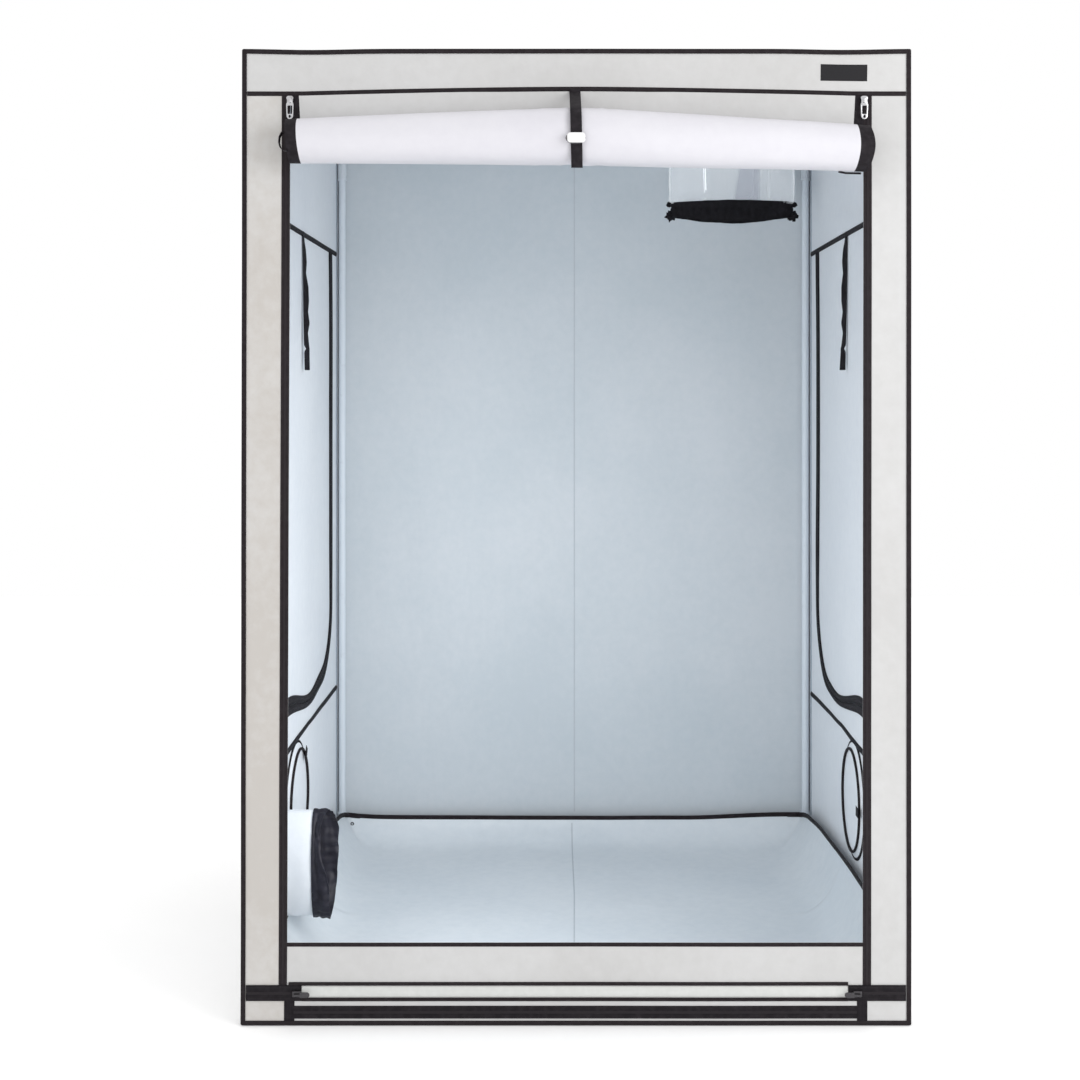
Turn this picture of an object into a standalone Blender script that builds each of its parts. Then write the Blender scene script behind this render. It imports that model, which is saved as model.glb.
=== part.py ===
"""Indoor grow tent: a tube frame in sewn cloth, with a rolled-up door, windows, vents and ducts.

Metres, +Z up. The origin is the centre of the footprint, on the ground.
The doorway faces -Y. Left is -X, seen from the front.
"""
import math

import bmesh
import bpy
from mathutils import Matrix, Vector

# Overall size, over the edge bindings
width = 1.5
depth = 1.5
height = 2.2

# Cloth, tape and running clearance
cloth = 0.0015
tape = 0.001
gap = 0.0003
binding_width = 0.009
overrun = 0.002

# Tube frame
tube_radius = 0.011
tube_wall = 0.0012
tube_sides = 12
socket_wall = 0.0025
socket_lip = 0.0012
socket_lip_length = 0.007
socket_reach = 0.085
socket_core = 0.016
post_joint_height = 1.09
joint_groove = 0.0009
swage_length = 0.045
swage_wall = 0.001

# Lamp bars, hooked over the side rails
bar_radius = 0.008
bar_drop = 0.030
hook_thickness = 0.0015
hook_width = 0.025
hook_tail = 0.012
front_bar_y = -0.35
rear_bar_y = 0.12

# Doorway between its two columns, sill, and header measured down from the top
column_width = 0.105
door_tape_width = 0.019
sill_height = 0.187
sill_binding = 0.009
header_drop = 0.087
header_piping = 0.015
door_seam = 0.008
trim_foot = 0.010

# Sill bands, from the ground up
sill_zip_low = 0.016
sill_zip_high = 0.045
sill_zip_inset = 0.013
sill_trim_low = 0.056
sill_trim_high = 0.099
piping_radius = 0.0035
piping_rise = 0.0042
zip_coil_height = 0.0016
zip_coil_half = 0.0035
base_zip_low = 0.056
base_zip_high = 0.092
base_zip_margin = 0.010
base_zip_length = 0.128

# Rolled-up door, from the tent's sides and down from the header
roll_margin_left = 0.099
roll_margin_right = 0.096
roll_radius_left = 0.052
roll_radius_middle = 0.065
roll_radius_right = 0.055
roll_drop_left = 0.1145
roll_drop_middle = 0.108
roll_drop_right = 0.133
roll_turns = 5
roll_turn_share = 0.11
roll_steps = 16
roll_sections = 7

# Door strap, sewn in the header, and its ring
strap_x = -0.004
strap_width = 0.025
strap_thickness = 0.0016
strap_seat = 0.005
strap_length = 0.182
ring_half_width = 0.0205
ring_half_height = 0.0115
ring_wire = 0.0018
ring_drop = 0.131

# Zip sliders and pulls
slider_width = 0.014
slider_length = 0.020
slider_depth = 0.006
slider_drop = 0.012
slider_bevel = 0.002
bridge_wire = 0.0012
bridge_clear = 0.003
bridge_rise = 0.005
bridge_fall = 0.008
pull_length = 0.045
pull_thickness = 0.0016
pull_width_top = 0.009
pull_width_bottom = 0.012
pull_bar = 0.0016
pull_window_length = 0.0105
pull_window_width = 0.0052
base_slider_inset = 0.018
base_pull_length = 0.022

# Side windows
window_margin = 0.183
window_low = 0.58
window_drop = 0.338
window_radius = 0.21
window_zip_half = 0.020
seam_half = 0.006
seam_end = 0.035

# Tie straps inside the windows
tie_y = 0.07
tie_width = 0.022
tie_thickness = 0.0014
tie_length = 0.38
tie_drift = 0.014
tie_wave = 0.003
tie_steps = 12

# Round vents in both side walls
vent_y = -0.06
vent_z = 0.337
vent_mesh_radius = 0.1277
vent_mesh = 0.0007
vent_ring_inner = 0.120
vent_ring_outer = 0.157
vent_ring = 0.0015
vent_cover_radius = 0.150
vent_hoop_radius = 0.134
vent_hoop_wire = 0.0038
vent_hoop_rise = 0.0085
vent_disc_rise = 0.006
vent_sides = 28
tab_width = 0.020
tab_length = 0.020
tab_rise = 0.021
right_tab_angle = math.radians(180)
left_tab_angle = math.radians(57)

# Duct sleeves: the round port, then the flattened mouth with its cuff
roof_port_inset_x = 0.2792
roof_port_inset_y = 0.30
roof_port_radius = 0.125
roof_hem_inset = 0.003
roof_hem_width = 0.020
roof_cuff_drop = 0.1974
roof_cuff_length = 0.0686
roof_mouth_half = 0.1875
side_port_y = -0.33
side_port_z = 0.2465
side_port_radius = 0.1
side_cuff_start = 0.090
side_cuff_length = 0.059
side_mouth_half = 0.1325
roof_mouth_depth = 0.030
side_mouth_depth = 0.042
roof_flat_share = 0.5
side_flat_share = 0.35
cuff_wall = 0.002
cuff_flare = 0.004
cuff_shares = ((0, 0), (0.08, 0), (0.36, 1), (0.64, 0.5), (0.92, 1), (1, 1))
sleeve_sides = 24
sleeve_rings = 5
sleeve_hem = 0.004

# Spill tray
tray_floor_inset = 0.044
tray_rim_inset = 0.0345
tray_fillet = 0.010
tray_corner = 0.045
tray_back_height = 0.100
tray_shoulder_height = 0.160
tray_side_height = 0.183
tray_front_height = 0.165
tray_shoulder_share = 0.26
tray_dip = 0.078
tray_dip_half = 0.19
tray_side_steps = 12
tray_corner_steps = 4

# Places that follow from the sizes above
outer_x = width / 2 - tape - gap
outer_y = depth / 2 - tape - gap
inner_x = outer_x - cloth
inner_y = outer_y - cloth
wall_foot = tape + gap
roof_low = height - tape - gap - cloth
wall_top = roof_low - gap
bore_radius = tube_radius + gap
socket_radius = bore_radius + socket_wall
lip_radius = socket_radius + socket_lip
rail_x = inner_x - gap - lip_radius
rail_y = inner_y - gap - lip_radius
rail_top_z = roof_low - gap - lip_radius
rail_base_z = cloth + gap + lip_radius
front_tape_back = outer_y + gap
front_tape_face = front_tape_back + tape
second_tape_back = front_tape_face + gap
second_tape_face = second_tape_back + tape
roll_back = front_tape_face + gap
side_tape_face = inner_x - gap - tape
tray_floor = cloth + gap

doorway_half = width / 2 - column_width
header_high = height - header_drop
header_low = header_high - header_piping
sill_zip_half = doorway_half - sill_zip_inset
base_zip_outer = width / 2 - base_zip_margin
base_zip_inner = base_zip_outer - base_zip_length
base_slider_x = base_zip_inner + base_slider_inset
roll_left = roll_margin_left - width / 2
roll_right = width / 2 - roll_margin_right
roll_z_left = header_low - roll_drop_left
roll_z_middle = header_low - roll_drop_middle
roll_z_right = header_low - roll_drop_right
strap_top = header_high - strap_seat
strap_bottom = strap_top - strap_length
ring_z = strap_top - ring_drop
window_half = depth / 2 - window_margin
window_top = height - window_drop
roof_port_x = width / 2 - roof_port_inset_x
roof_port_y = depth / 2 - roof_port_inset_y
roof_cuff_top = height - roof_cuff_drop
roof_cuff_bottom = roof_cuff_top - roof_cuff_length
side_cuff_end = side_cuff_start + side_cuff_length

sides = {"left": -1, "right": 1}


def new_collection(name):
    """Makes a collection in the scene."""
    group = bpy.data.collections.new(name)
    bpy.context.scene.collection.children.link(group)
    return group


for old in list(bpy.data.objects):
    bpy.data.objects.remove(old, do_unlink=True)
tent = new_collection("grow_tent")


def material(name, colour, roughness, metallic=0.0):
    """Makes a Principled material."""
    made = bpy.data.materials.new(name)
    made.use_nodes = True
    made.diffuse_color = (*colour, 1.0)
    shader = made.node_tree.nodes["Principled BSDF"]
    shader.inputs["Base Color"].default_value = (*colour, 1.0)
    shader.inputs["Roughness"].default_value = roughness
    shader.inputs["Metallic"].default_value = metallic
    return made


canvas = material("canvas", (0.66, 0.65, 0.62), 0.75)
lining = material("lining", (0.60, 0.68, 0.73), 0.45)
white_cloth = material("white_cloth", (0.86, 0.87, 0.92), 0.5)
black_tape = material("black_tape", (0.026, 0.018, 0.022), 0.7)
black_elastic = material("black_elastic", (0.028, 0.024, 0.030), 0.85)
clear_foil = material("clear_foil", (0.78, 0.82, 0.86), 0.15)
frame_paint = material("frame_paint", (0.75, 0.76, 0.78), 0.4)
socket_plastic = material("socket_plastic", (0.80, 0.80, 0.80), 0.5)
bar_steel = material("bar_steel", (0.70, 0.71, 0.73), 0.3, 1.0)
zip_metal = material("zip_metal", (0.62, 0.62, 0.64), 0.25, 1.0)
insect_mesh = material("insect_mesh", (0.05, 0.05, 0.055), 0.8)
tray_cloth = material("tray_cloth", (0.66, 0.72, 0.77), 0.4)


def settle(made, name, finish):
    """Names an object, gives it its material and puts it in the tent's collection."""
    made.name = name
    made.data.name = name
    made.data.materials.clear()
    made.data.materials.append(finish)
    for group in list(made.users_collection):
        group.objects.unlink(made)
    tent.objects.link(made)
    return made


# Planes that a flat outline is drawn in, as rotations of the XY plane
planes = {
    "floor": (0, 0, 0),
    "front": (math.radians(90), 0, 0),
    "side": (math.radians(90), 0, math.radians(90)),
}
axis_turns = {
    "+x": (0, math.radians(90), 0),
    "-x": (0, math.radians(-90), 0),
    "+y": (math.radians(-90), 0, 0),
    "+z": (0, 0, 0),
}


def plate(name, loops, plane, place, thickness, finish):
    """A flat outline with its holes, half its thickness each way from its plane."""
    curve = bpy.data.curves.new(name, "CURVE")
    curve.dimensions = "2D"
    curve.fill_mode = "BOTH"
    curve.extrude = thickness / 2
    for loop in loops:
        spline = curve.splines.new("POLY")
        spline.points.add(len(loop) - 1)
        for point, (u, v) in zip(spline.points, loop):
            point.co = (u, v, 0, 1)
        spline.use_cyclic_u = True
    made = bpy.data.objects.new(name, curve)
    tent.objects.link(made)
    made.rotation_euler = planes[plane]
    made.location = place
    return settle(made, name, finish)


def rectangle(low_u, low_v, high_u, high_v):
    """Corners of a rectangle."""
    return [(low_u, low_v), (high_u, low_v), (high_u, high_v), (low_u, high_v)]


def arc(u, v, radius, start, end, steps):
    """Points on an arc, with angles in degrees."""
    angles = [math.radians(start + (end - start) * i / steps) for i in range(steps + 1)]
    return [(u + radius * math.cos(a), v + radius * math.sin(a)) for a in angles]


def circle(u, v, radius, steps):
    """Points round a circle."""
    return arc(u, v, radius, 0, 360, steps)[:-1]


def window_outline(grow):
    """A window's outline: straight sides, and round corners at the foot."""
    half = window_half + grow
    low = window_low - grow
    radius = window_radius + grow
    foot_right = arc(half - radius, low + radius, radius, 0, -90, 8)
    foot_left = arc(-half + radius, low + radius, radius, -90, -180, 8)
    return foot_right + foot_left


def ribbon_outline(path, thickness):
    """The outline of a strip of even thickness along a path."""
    before, after = [], []
    for i, (u, v) in enumerate(path):
        u0, v0 = path[max(i - 1, 0)]
        u1, v1 = path[min(i + 1, len(path) - 1)]
        run = math.hypot(u1 - u0, v1 - v0)
        across = (-(v1 - v0) / run * thickness / 2, (u1 - u0) / run * thickness / 2)
        before.append((u + across[0], v + across[1]))
        after.append((u - across[0], v - across[1]))
    return before + after[::-1]


def turned(name, profile, steps, turn, place, finish, closed=False):
    """A profile of radius and height, turned about its own axis by a Screw modifier."""
    mesh = bpy.data.meshes.new(name)
    shape = bmesh.new()
    points = [shape.verts.new((radius, 0, level)) for radius, level in profile]
    for first, second in zip(points, points[1:]):
        shape.edges.new((first, second))
    if closed:
        shape.edges.new((points[-1], points[0]))
    shape.to_mesh(mesh)
    shape.free()
    made = bpy.data.objects.new(name, mesh)
    tent.objects.link(made)
    screw = made.modifiers.new("turn", "SCREW")
    screw.steps = steps
    screw.render_steps = steps
    screw.use_merge_vertices = True
    screw.merge_threshold = gap / 10
    made.rotation_euler = turn
    made.location = place
    return settle(made, name, finish)


def pipe_profile(length):
    """Outer side down, inner side up: the section of a plain tube."""
    bore = tube_radius - tube_wall
    return [(tube_radius, length), (tube_radius, 0), (bore, 0), (bore, length)]


def box(name, low, high, finish):
    """A block between two corners."""
    bpy.ops.mesh.primitive_cube_add(size=1)
    made = bpy.context.object
    middle = [(a + b) / 2 for a, b in zip(low, high)]
    spans = [b - a for a, b in zip(low, high)]
    made.data.transform(Matrix.Translation(middle) @ Matrix.Diagonal((*spans, 1)))
    return settle(made, name, finish)


def as_mesh(made):
    """Turns a curve, or an object with modifiers, into a plain welded mesh in world space."""
    graph = bpy.context.evaluated_depsgraph_get()
    mesh = bpy.data.meshes.new_from_object(made.evaluated_get(graph), depsgraph=graph)
    mesh.transform(made.matrix_world)
    shape = bmesh.new()
    shape.from_mesh(mesh)
    bmesh.ops.remove_doubles(shape, verts=shape.verts, dist=gap / 10)
    shape.to_mesh(mesh)
    shape.free()
    name = made.name
    finish = mesh.materials[0]
    bpy.data.objects.remove(made, do_unlink=True)
    plain = bpy.data.objects.new(name, mesh)
    tent.objects.link(plain)
    return settle(plain, name, finish)


def merged(base, others, operation="UNION"):
    """Joins the others to the base, or cuts them out of it, and leaves one plain mesh."""
    base = as_mesh(base)
    tools = [as_mesh(other) for other in others]
    for tool in tools:
        cut = base.modifiers.new("join", "BOOLEAN")
        cut.operation = operation
        cut.solver = "EXACT"
        cut.object = tool
    bpy.context.view_layer.update()
    base = as_mesh(base)
    for tool in tools:
        bpy.data.objects.remove(tool, do_unlink=True)
    return base


def smooth(made, degrees=40):
    """Shades round faces smooth and keeps the sharp edges."""
    made.data.shade_smooth()
    made.data.set_sharp_from_angle(angle=math.radians(degrees))
    return made


def lofted(name, rings, finish, wall, closed=True, capped=False):
    """A skin through rings of equal count, with a Solidify wall unless it is capped solid."""
    mesh = bpy.data.meshes.new(name)
    shape = bmesh.new()
    rows = [[shape.verts.new(point) for point in ring] for ring in rings]
    for low_row, high_row in zip(rows, rows[1:]):
        count = len(low_row)
        for i in range(count if closed else count - 1):
            after = (i + 1) % count
            shape.faces.new((low_row[i], low_row[after], high_row[after], high_row[i]))
    if capped:
        half = len(rows[0]) // 2
        for row in (rows[0], rows[-1]):
            for i in range(half - 1):
                shape.faces.new((row[i], row[i + 1], row[-2 - i], row[-1 - i]))
    bmesh.ops.recalc_face_normals(shape, faces=shape.faces)
    shape.to_mesh(mesh)
    shape.free()
    made = bpy.data.objects.new(name, mesh)
    tent.objects.link(made)
    settle(made, name, finish)
    if wall:
        solid = made.modifiers.new("wall", "SOLIDIFY")
        solid.thickness = wall
        solid.offset = 1
        solid.use_even_offset = True
    return smooth(made)


# The frame: eight three-way sockets, four jointed posts and eight rails

def socket_master():
    """A corner socket with arms along +X, +Y and +Z from the crossing of their axes."""
    arm = [
        (0, socket_reach),
        (lip_radius, socket_reach),
        (lip_radius, socket_reach - socket_lip_length),
        (socket_radius, socket_reach - socket_lip_length - socket_lip),
        (socket_radius, 0),
        (0, 0),
    ]
    bore = [(0, socket_reach + overrun), (bore_radius, socket_reach + overrun),
            (bore_radius, socket_core), (0, socket_core)]
    centre = (0, 0, 0)
    bpy.ops.mesh.primitive_uv_sphere_add(segments=tube_sides, ring_count=tube_sides // 2,
                                         radius=lip_radius)
    core = settle(bpy.context.object, "socket_core", socket_plastic)
    arms = [turned("arm", arm, tube_sides, axis_turns[way], centre, socket_plastic)
            for way in ("+x", "+y", "+z")]
    bores = [turned("bore", bore, tube_sides, axis_turns[way], centre, socket_plastic)
             for way in ("+x", "+y", "+z")]
    bpy.context.view_layer.update()
    solid = merged(core, arms)
    return merged(solid, bores, "DIFFERENCE")


def add_sockets():
    """Places the socket at all eight corners, its arms turned to the rails and the post."""
    master = smooth(socket_master())
    for level, up in (("bottom", 1), ("top", -1)):
        for end, back in (("front", -1), ("rear", 1)):
            for side, right in sides.items():
                arms = (-right, -back, up)
                turn = Matrix.Diagonal(arms)
                if arms[0] * arms[1] * arms[2] < 0:
                    turn = Matrix(((0, arms[0], 0), (arms[1], 0, 0), (0, 0, arms[2])))
                name = f"corner_{level}_{end}_{side}"
                made = bpy.data.objects.new(name, master.data.copy())
                tent.objects.link(made)
                crossing = (right * rail_x, back * rail_y, rail_base_z if up > 0 else rail_top_z)
                made.matrix_world = Matrix.Translation(crossing) @ turn.to_4x4()
                settle(made, name, socket_plastic)
    bpy.data.objects.remove(master, do_unlink=True)


def add_posts():
    """Four posts, each of two tubes with a swaged joint near half height."""
    seat = socket_core + gap
    foot = rail_base_z + seat
    length = rail_top_z - seat - foot
    joint = post_joint_height - foot
    bore = tube_radius - tube_wall
    waist = bore - swage_wall
    profile = [
        (tube_radius, length),
        (tube_radius, joint + joint_groove),
        (tube_radius - joint_groove, joint),
        (tube_radius, joint - joint_groove),
        (tube_radius, 0),
        (bore, 0),
        (bore, joint - swage_length),
        (waist, joint - swage_length + swage_wall),
        (waist, joint + swage_length - swage_wall),
        (bore, joint + swage_length),
        (bore, length),
    ]
    for end, back in (("front", -1), ("rear", 1)):
        for side, right in sides.items():
            place = (right * rail_x, back * rail_y, foot)
            turned(f"post_{end}_{side}", profile, tube_sides, axis_turns["+z"], place,
                   frame_paint, closed=True)


def add_rails():
    """Base and top rails between the sockets, along X at front and rear, along Y at the sides."""
    seat = socket_core + gap
    span_x = 2 * (rail_x - seat)
    span_y = 2 * (rail_y - seat)
    for level, z in (("base", rail_base_z), ("top", rail_top_z)):
        for end, back in (("front", -1), ("rear", 1)):
            turned(f"{level}_rail_{end}", pipe_profile(span_x), tube_sides, axis_turns["+x"],
                   (-span_x / 2, back * rail_y, z), frame_paint, closed=True)
        for side, right in sides.items():
            turned(f"{level}_rail_{side}", pipe_profile(span_y), tube_sides, axis_turns["+y"],
                   (right * rail_x, -span_y / 2, z), frame_paint, closed=True)


def lamp_bar(name, y):
    """A crossbar whose end hooks ride on the two side rails."""
    wrap = tube_radius + gap + hook_thickness / 2
    bar_z = rail_top_z - bar_drop
    hooks = []
    for side, right in sides.items():
        over = arc(0, rail_top_z, wrap, -15, 180, 9)
        path = over + [(-wrap, bar_z - hook_tail)]
        loop = [(right * (rail_x + u), v) for u, v in ribbon_outline(path, hook_thickness)]
        hooks.append(plate("hook", [loop], "front", (0, y, 0), hook_width, bar_steel))
    reach = rail_x - wrap
    rod = [(0, 2 * reach), (bar_radius, 2 * reach), (bar_radius, 0), (0, 0)]
    bar = turned(name, rod, tube_sides, axis_turns["+x"], (-reach, y, bar_z), bar_steel)
    bpy.context.view_layer.update()
    return smooth(merged(bar, hooks))


# The sewn shell

def add_shell():
    """Base, roof, back wall and front panel, as taut sheets inside the edge bindings."""
    base_x = width / 2 - binding_width - gap
    base_y = depth / 2 - binding_width - gap
    plate("base_sheet", [rectangle(-base_x, -base_y, base_x, base_y)], "floor",
          (0, 0, cloth / 2), cloth, canvas)
    port = circle(roof_port_x, roof_port_y, roof_port_radius, sleeve_sides)
    roof = plate("roof_sheet", [rectangle(-outer_x, -outer_y, outer_x, outer_y), port], "floor",
                 (0, 0, roof_low + cloth / 2), cloth, canvas)
    hem_inner = roof_port_radius + roof_hem_inset
    hem_loops = [circle(roof_port_x, roof_port_y, hem_inner + roof_hem_width, sleeve_sides),
                 circle(roof_port_x, roof_port_y, hem_inner, sleeve_sides)]
    hem_rise = cloth / 2 + tape
    hem = plate("hem", hem_loops, "floor", (0, 0, roof_low + cloth / 2 + hem_rise / 2),
                hem_rise, canvas)
    merged(roof, [hem])
    half = inner_x - gap
    rear = rectangle(-half, wall_foot, half, wall_top)
    plate("back_wall", [rear], "front", (0, outer_y - cloth / 2, 0), cloth, lining)
    doorway = rectangle(-doorway_half, sill_height, doorway_half, header_low - door_seam)
    plate("front_panel", [rear, doorway], "front", (0, -outer_y + cloth / 2, 0), cloth, canvas)


def side_wall(side, right):
    """A side wall with its window, its vent hole and, on the left, the duct port."""
    loops = [
        rectangle(-outer_y, wall_foot, outer_y, wall_top),
        [(-window_half - gap, window_top + gap), (window_half + gap, window_top + gap)]
        + window_outline(gap),
        circle(vent_y, vent_z, vent_mesh_radius + gap, vent_sides),
    ]
    if side == "left":
        loops.append(circle(side_port_y, side_port_z, side_port_radius, sleeve_sides))
    plate(f"{side}_wall", loops, "side", (right * (outer_x - cloth / 2), 0, 0), cloth, lining)


def window(side, right):
    """A window's flap, hinged along its top edge, and the zip and seam tape inside."""
    flap = [(-window_half, window_top), (window_half, window_top)] + window_outline(0)
    plate(f"window_flap_{side}", [flap], "side", (right * (outer_x - cloth / 2), 0, 0),
          cloth, lining)
    seam_reach = rail_y - seam_end
    low = window_top - seam_half
    outer = window_outline(window_zip_half)
    inner = window_outline(-window_zip_half)
    leg = window_half + window_zip_half
    inner_leg = window_half - window_zip_half
    outline = [(-leg, low), (-seam_reach, low), (-seam_reach, window_top + seam_half),
               (seam_reach, window_top + seam_half), (seam_reach, low), (leg, low)] + outer
    hole = [(-inner_leg, low), (inner_leg, low)] + inner
    plate(f"window_zip_{side}", [outline, hole], "side",
          (right * (side_tape_face + tape / 2), 0, 0), tape, black_tape)


def tie_strap(side, right):
    """A tie strap that hangs inside the wall from the seam over the window."""
    top = window_top + seam_half
    start = side_tape_face - gap - tie_thickness / 2
    path = []
    for i in range(tie_steps + 1):
        t = i / tie_steps
        ripple = tie_wave * math.sin(math.pi * t) * math.sin(2 * math.pi * t) ** 2
        path.append((right * (start - tie_drift * t * t - ripple), top - tie_length * t))
    plate(f"tie_strap_{side}", [ribbon_outline(path, tie_thickness)], "front",
          (0, tie_y, 0), tie_width, black_tape)


def edge_binding():
    """One cage of folded binding along all twelve edges of the shell."""
    bpy.ops.mesh.primitive_cube_add(size=1)
    made = bpy.context.object
    made.data.transform(Matrix.Translation((0, 0, height / 2))
                        @ Matrix.Diagonal((width, depth, height, 1)))
    shape = bmesh.new()
    shape.from_mesh(made.data)
    panels = list(shape.faces)
    bmesh.ops.inset_individual(shape, faces=panels, thickness=binding_width,
                               use_even_offset=True)
    bmesh.ops.delete(shape, geom=panels, context="FACES")
    shape.to_mesh(made.data)
    shape.free()
    settle(made, "edge_binding", black_tape)
    fold = made.modifiers.new("fold", "SOLIDIFY")
    fold.thickness = tape
    fold.offset = -1
    fold.use_even_offset = True
    return made


def doorway_trim():
    """Door zip tapes, sill binding and header piping, sewn round the doorway."""
    outer = doorway_half + door_tape_width
    reach = width / 2 - binding_width - gap
    outline = [
        (-reach, header_high), (reach, header_high), (reach, header_low), (outer, header_low),
        (outer, trim_foot), (doorway_half, trim_foot),
        (doorway_half, sill_height - sill_binding), (-doorway_half, sill_height - sill_binding),
        (-doorway_half, trim_foot), (-outer, trim_foot), (-outer, header_low),
        (-reach, header_low),
    ]
    hole = rectangle(-doorway_half, sill_height, doorway_half, header_low)
    plate("doorway_trim", [outline, hole], "front", (0, -front_tape_face + tape / 2, 0),
          tape, black_tape)


def zip_band(name, x_low, x_high, z_low, z_high, back):
    """A zip's tape with its coil raised along the middle, lying on the front."""
    face = -(back + tape)
    crest = face - zip_coil_height
    middle = (z_low + z_high) / 2
    section = [
        (-back, z_low), (-back, z_high), (face, z_high), (face, middle + zip_coil_half),
        (crest, middle + zip_coil_half / 2), (crest, middle - zip_coil_half / 2),
        (face, middle - zip_coil_half), (face, z_low),
    ]
    plate(name, [section], "side", ((x_low + x_high) / 2, 0, 0), x_high - x_low, black_tape)


def sill_trim():
    """A flat band with a round piping along each edge, across the sill."""
    back = -front_tape_back
    face = back - tape
    half = base_zip_inner - gap
    low = sill_trim_low + piping_radius
    high = sill_trim_high - piping_radius
    top_bead = arc(0, high, piping_radius, 0, 180, 6)
    low_bead = arc(0, low, piping_radius, 180, 360, 6)
    flatten = piping_rise / (2 * piping_radius)
    section = [(back + (u - piping_radius) * flatten, v) for u, v in top_bead]
    section += [(face, high - piping_radius), (face, low + piping_radius)]
    section += [(back + (u - piping_radius) * flatten, v) for u, v in low_bead]
    plate("sill_trim", [section], "side", (0, 0, 0), 2 * half, canvas)


# The door: a short run of cloth under the header, then the wound roll, held by a strap

def along_roll(share, left, middle, right):
    """A value on the smooth curve through the roll's left end, middle and right end."""
    bend = left - 2 * middle + right
    return left + share * (4 * middle - 3 * left - right) + 2 * share * share * bend


def roll_ring(share):
    """One section of the roll: the cloth's outer side, then its inner side back again."""
    x = roll_left + (roll_right - roll_left) * share
    radius = along_roll(share, roll_radius_left, roll_radius_middle, roll_radius_right)
    z = along_roll(share, roll_z_left, roll_z_middle, roll_z_right)
    y = -roll_back - radius
    count = roll_turns * roll_steps
    outer, inner = [], []
    for i in range(count + 1):
        turn = -2 * math.pi * i / roll_steps
        reach = radius * (1 - roll_turn_share * i / roll_steps)
        for row, r in ((outer, reach), (inner, reach - cloth)):
            row.append((x, y + r * math.cos(turn), z + r * math.sin(turn)))
    return outer + inner[::-1]


def door():
    """The hanging part of the door, and its roll of wound cloth."""
    half = doorway_half - gap
    top = header_low - gap
    plate("door_sheet", [rectangle(-half, roll_z_middle, half, top)], "front",
          (0, -front_tape_face + tape / 2, 0), tape, canvas)
    rings = [roll_ring(i / (roll_sections - 1)) for i in range(roll_sections)]
    lofted("door_roll", rings, white_cloth, 0, capped=True)
    turns_gap = []
    for ring in rings:
        outer = ring[:len(ring) // 2]
        inner = ring[len(ring) // 2:][::-1]
        for i in range(len(outer) - roll_steps):
            turns_gap.append((Vector(inner[i]) - Vector(outer[i + roll_steps])).length)
    print(f"least gap between the roll's turns: {min(turns_gap) * 1000:.2f} mm")


def door_strap():
    """The strap that hangs over the front of the roll, and the ring on it."""
    back = roll_back + strap_thickness / 2
    radius = roll_radius_middle + gap + strap_thickness / 2
    centre_y = -roll_back - roll_radius_middle
    lift = strap_top - 2 * strap_thickness - roll_z_middle
    away = roll_radius_middle - strap_thickness / 2
    tangent = math.degrees(math.atan2(lift, away) + math.acos(radius / math.hypot(lift, away)))
    over = arc(centre_y, roll_z_middle, radius, tangent, 180, 8)
    path = [(-back, strap_top), (-back, strap_top - 2 * strap_thickness)]
    path += over + [(centre_y - radius, strap_bottom)]
    plate("door_strap", [ribbon_outline(path, strap_thickness)], "side", (strap_x, 0, 0),
          strap_width, black_tape)
    face = centre_y - radius - strap_thickness / 2 - gap - ring_wire
    curve = bpy.data.curves.new("strap_ring", "CURVE")
    curve.dimensions = "3D"
    curve.bevel_depth = ring_wire
    curve.bevel_resolution = 1
    spline = curve.splines.new("POLY")
    loop = circle(0, 0, 1, 16)
    spline.points.add(len(loop) - 1)
    for point, (u, v) in zip(spline.points, loop):
        point.co = (strap_x + u * ring_half_width, face, ring_z + v * ring_half_height, 1)
    spline.use_cyclic_u = True
    made = bpy.data.objects.new("strap_ring", curve)
    tent.objects.link(made)
    settle(made, "strap_ring", zip_metal)


# Zip sliders and their pulls

def slider(name, x, z, back, along, pull=0):
    """A slider's body with the bridge that its pull hangs from; along is its zip's way."""
    half_w, half_l = slider_width / 2, slider_length / 2
    body = box(name, (-half_w, -slider_depth, -half_l), (half_w, 0, half_l), zip_metal)
    edge = body.modifiers.new("edge", "BEVEL")
    edge.width = slider_bevel
    edge.segments = 2
    face = -slider_depth
    crest = face - bridge_clear - bridge_wire
    path = [(face + bridge_wire, bridge_rise), (crest, bridge_rise),
            (crest, -bridge_fall), (face + bridge_wire, -bridge_fall)]
    outline = ribbon_outline(path, 2 * bridge_wire)
    parts = [plate("bridge", [outline], "side", (0, 0, 0), 2 * bridge_wire, zip_metal)]
    if pull:
        half = pull_width_bottom / 2
        low = -bridge_fall
        tongue = [(-half, low), (half, low)] + arc(0, low - pull + half, half, 0, -180, 6)
        parts.append(plate("tongue", [tongue], "front", (0, crest, 0), 2 * bridge_wire,
                           zip_metal))
    bpy.context.view_layer.update()
    made = smooth(merged(body, parts))
    made.data.transform(Matrix.Rotation(along, 4, "Y"))
    made.location = (x, -back, z)
    return made


def pull(name, x, z, back):
    """A flat pull with a window at its head, whose top bar lies under the slider's bridge."""
    depth_in = back + slider_depth + bridge_clear / 2
    top = pull_width_top / 2
    low = pull_width_bottom / 2
    foot = pull_bar / 2 - pull_length + low
    outline = [(-top, pull_bar / 2)] + arc(0, foot, low, 180, 360, 8) + [(top, pull_bar / 2)]
    hole = rectangle(-pull_window_width / 2, -pull_bar / 2 - pull_window_length,
                     pull_window_width / 2, -pull_bar / 2)
    plate(name, [outline, hole], "front", (x, -depth_in, z), pull_thickness, zip_metal)


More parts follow.
